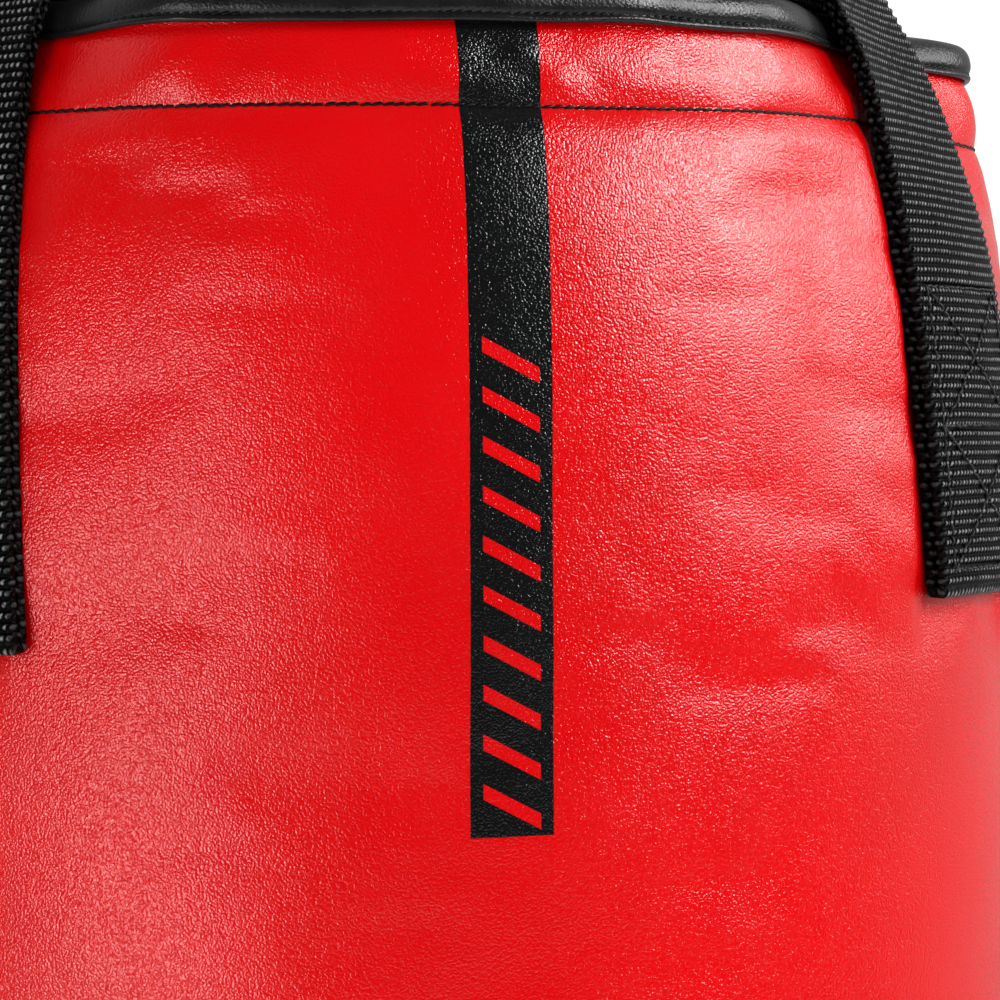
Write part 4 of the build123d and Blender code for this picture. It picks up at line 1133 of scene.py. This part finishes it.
def make_camera():
    """Looks at the top of the bag from its front left, a little below the rim."""
    data = bpy.data.cameras.new("camera")
    data.lens = 111.4
    data.sensor_width = 36.0
    data.clip_start = 0.01
    camera = add_object("camera", data)
    place = Vector((CAMERA_DISTANCE * math.sin(CAMERA_SIDE), -CAMERA_DISTANCE * math.cos(CAMERA_SIDE),
                    Z_BINDING - CAMERA_DROP))
    # Facing along +Y, then tilted, turned and rolled
    turn = Matrix.Rotation(CAMERA_SIDE - CAMERA_YAW, 3, "Z")
    turn = turn @ Matrix.Rotation(math.pi / 2 + CAMERA_PITCH, 3, "X") @ Matrix.Rotation(CAMERA_ROLL, 3, "Z")
    camera.matrix_world = Matrix.Translation(place) @ turn.to_4x4()
    bpy.context.scene.camera = camera


def make_light(name, side, elevation, distance, size, power, aim_depth=0.1, glossy=True):
    """Soft box at an angle from the camera's side of the bag, facing the bag."""
    data = bpy.data.lights.new(name, "AREA")
    data.shape = "RECTANGLE"
    data.size, data.size_y = size
    data.energy = power
    light = add_object(name, data)
    angle, up = CAMERA_SIDE + math.radians(side), math.radians(elevation)
    aim = Vector((0, 0, Z_BINDING - aim_depth))
    back = Vector((math.sin(angle) * math.cos(up), -math.cos(angle) * math.cos(up), math.sin(up)))
    light.location = aim + back * distance
    light.rotation_euler = back.to_track_quat("Z", "Y").to_euler()
    light.visible_glossy = glossy


def make_floor():
    """Plain pale floor under the hanging bag."""
    size, z = 30.0, -2.05
    n = Nodes("floor")
    shade = n.mix(n.noise(3, 2.0), (0.80, 0.80, 0.80), (0.83, 0.83, 0.83))
    corners = np.array([(-size, -size, z), (size, -size, z), (size, size, z), (-size, size, z)])
    mesh_object("floor", corners, [(0, 1, 2, 3)], n.set(Base_Color=shade, Roughness=0.8))


def by_direction(tree, coordinate, scale, low, high):
    """Strength that fades from low in front of the bag to high behind it."""
    place = tree.nodes.new("ShaderNodeTexCoord")
    axis = tree.nodes.new("ShaderNodeSeparateXYZ")
    strength = tree.nodes.new("ShaderNodeMapRange")
    strength.interpolation_type = "SMOOTHSTEP"
    tree.links.new(place.outputs[coordinate], axis.inputs[0])
    tree.links.new(axis.outputs["Y"], strength.inputs["Value"])
    for socket, value in zip(strength.inputs[1:5], (-0.35 * scale, 0.25 * scale, low, high)):
        socket.default_value = value
    return strength.outputs[0]


def make_world():
    """White studio, a little dimmer in front of the bag than behind it."""
    world = bpy.data.worlds.new("studio")
    bpy.context.scene.world = world
    world.use_nodes = True
    world.cycles_visibility.glossy = False
    tree = world.node_tree
    background = tree.nodes["Background"]
    background.inputs["Color"].default_value = (1, 1, 1, 1)
    tree.links.new(by_direction(tree, "Generated", 1, WORLD_DIM, WORLD_BRIGHT), background.inputs["Strength"])


def make_flag():
    """Dark cloth round the studio, which only reflections see, so that the soft boxes stand out in them."""
    turns, levels, radius, gap = 48, 20, 4.0, 0.05
    phi = circle(turns).T + math.pi / 2
    rise = np.linspace(-math.pi / 2 + gap, math.pi / 2 - gap, levels)[:, None]
    points = round_axis(radius * np.cos(rise), phi, Z_BINDING + radius * np.sin(rise))
    index = np.arange(turns * levels).reshape(levels, turns)
    n = Nodes("flag")
    n.material.cycles.emission_sampling = "NONE"
    strength = by_direction(n.tree, "Object", radius, FLAG_DIM, FLAG_BRIGHT)
    n.set(Base_Color=(0, 0, 0, 1), Specular_IOR_Level=0.0)
    n.set(Emission_Color=(1, 1, 1, 1), Emission_Strength=strength)
    flag = mesh_object("flag", points, wrapped_faces(index), n.material)
    flag.visible_camera = flag.visible_diffuse = flag.visible_shadow = flag.visible_transmission = False


make_camera()
make_world()
make_floor()
make_flag()
make_light("key_right", 61, 23.5, 1.8, (0.6, 0.85), 24)
make_light("side_right", 92, 20, 1.8, (0.5, 0.9), 11)
make_light("key_left", -34, -9, 1.7, (0.6, 0.7), 8.6)
make_light("fill_front", -30, 6, 2.4, (1.6, 1.6), 12, aim_depth=0.2, glossy=False)
make_light("back_fill", -152, 18, 2.2, (0.9, 1.5), 20, aim_depth=0.4)
view = bpy.context.scene.view_settings
view.view_transform = "Standard"
view.gamma = 0.87
view.exposure = 0.12
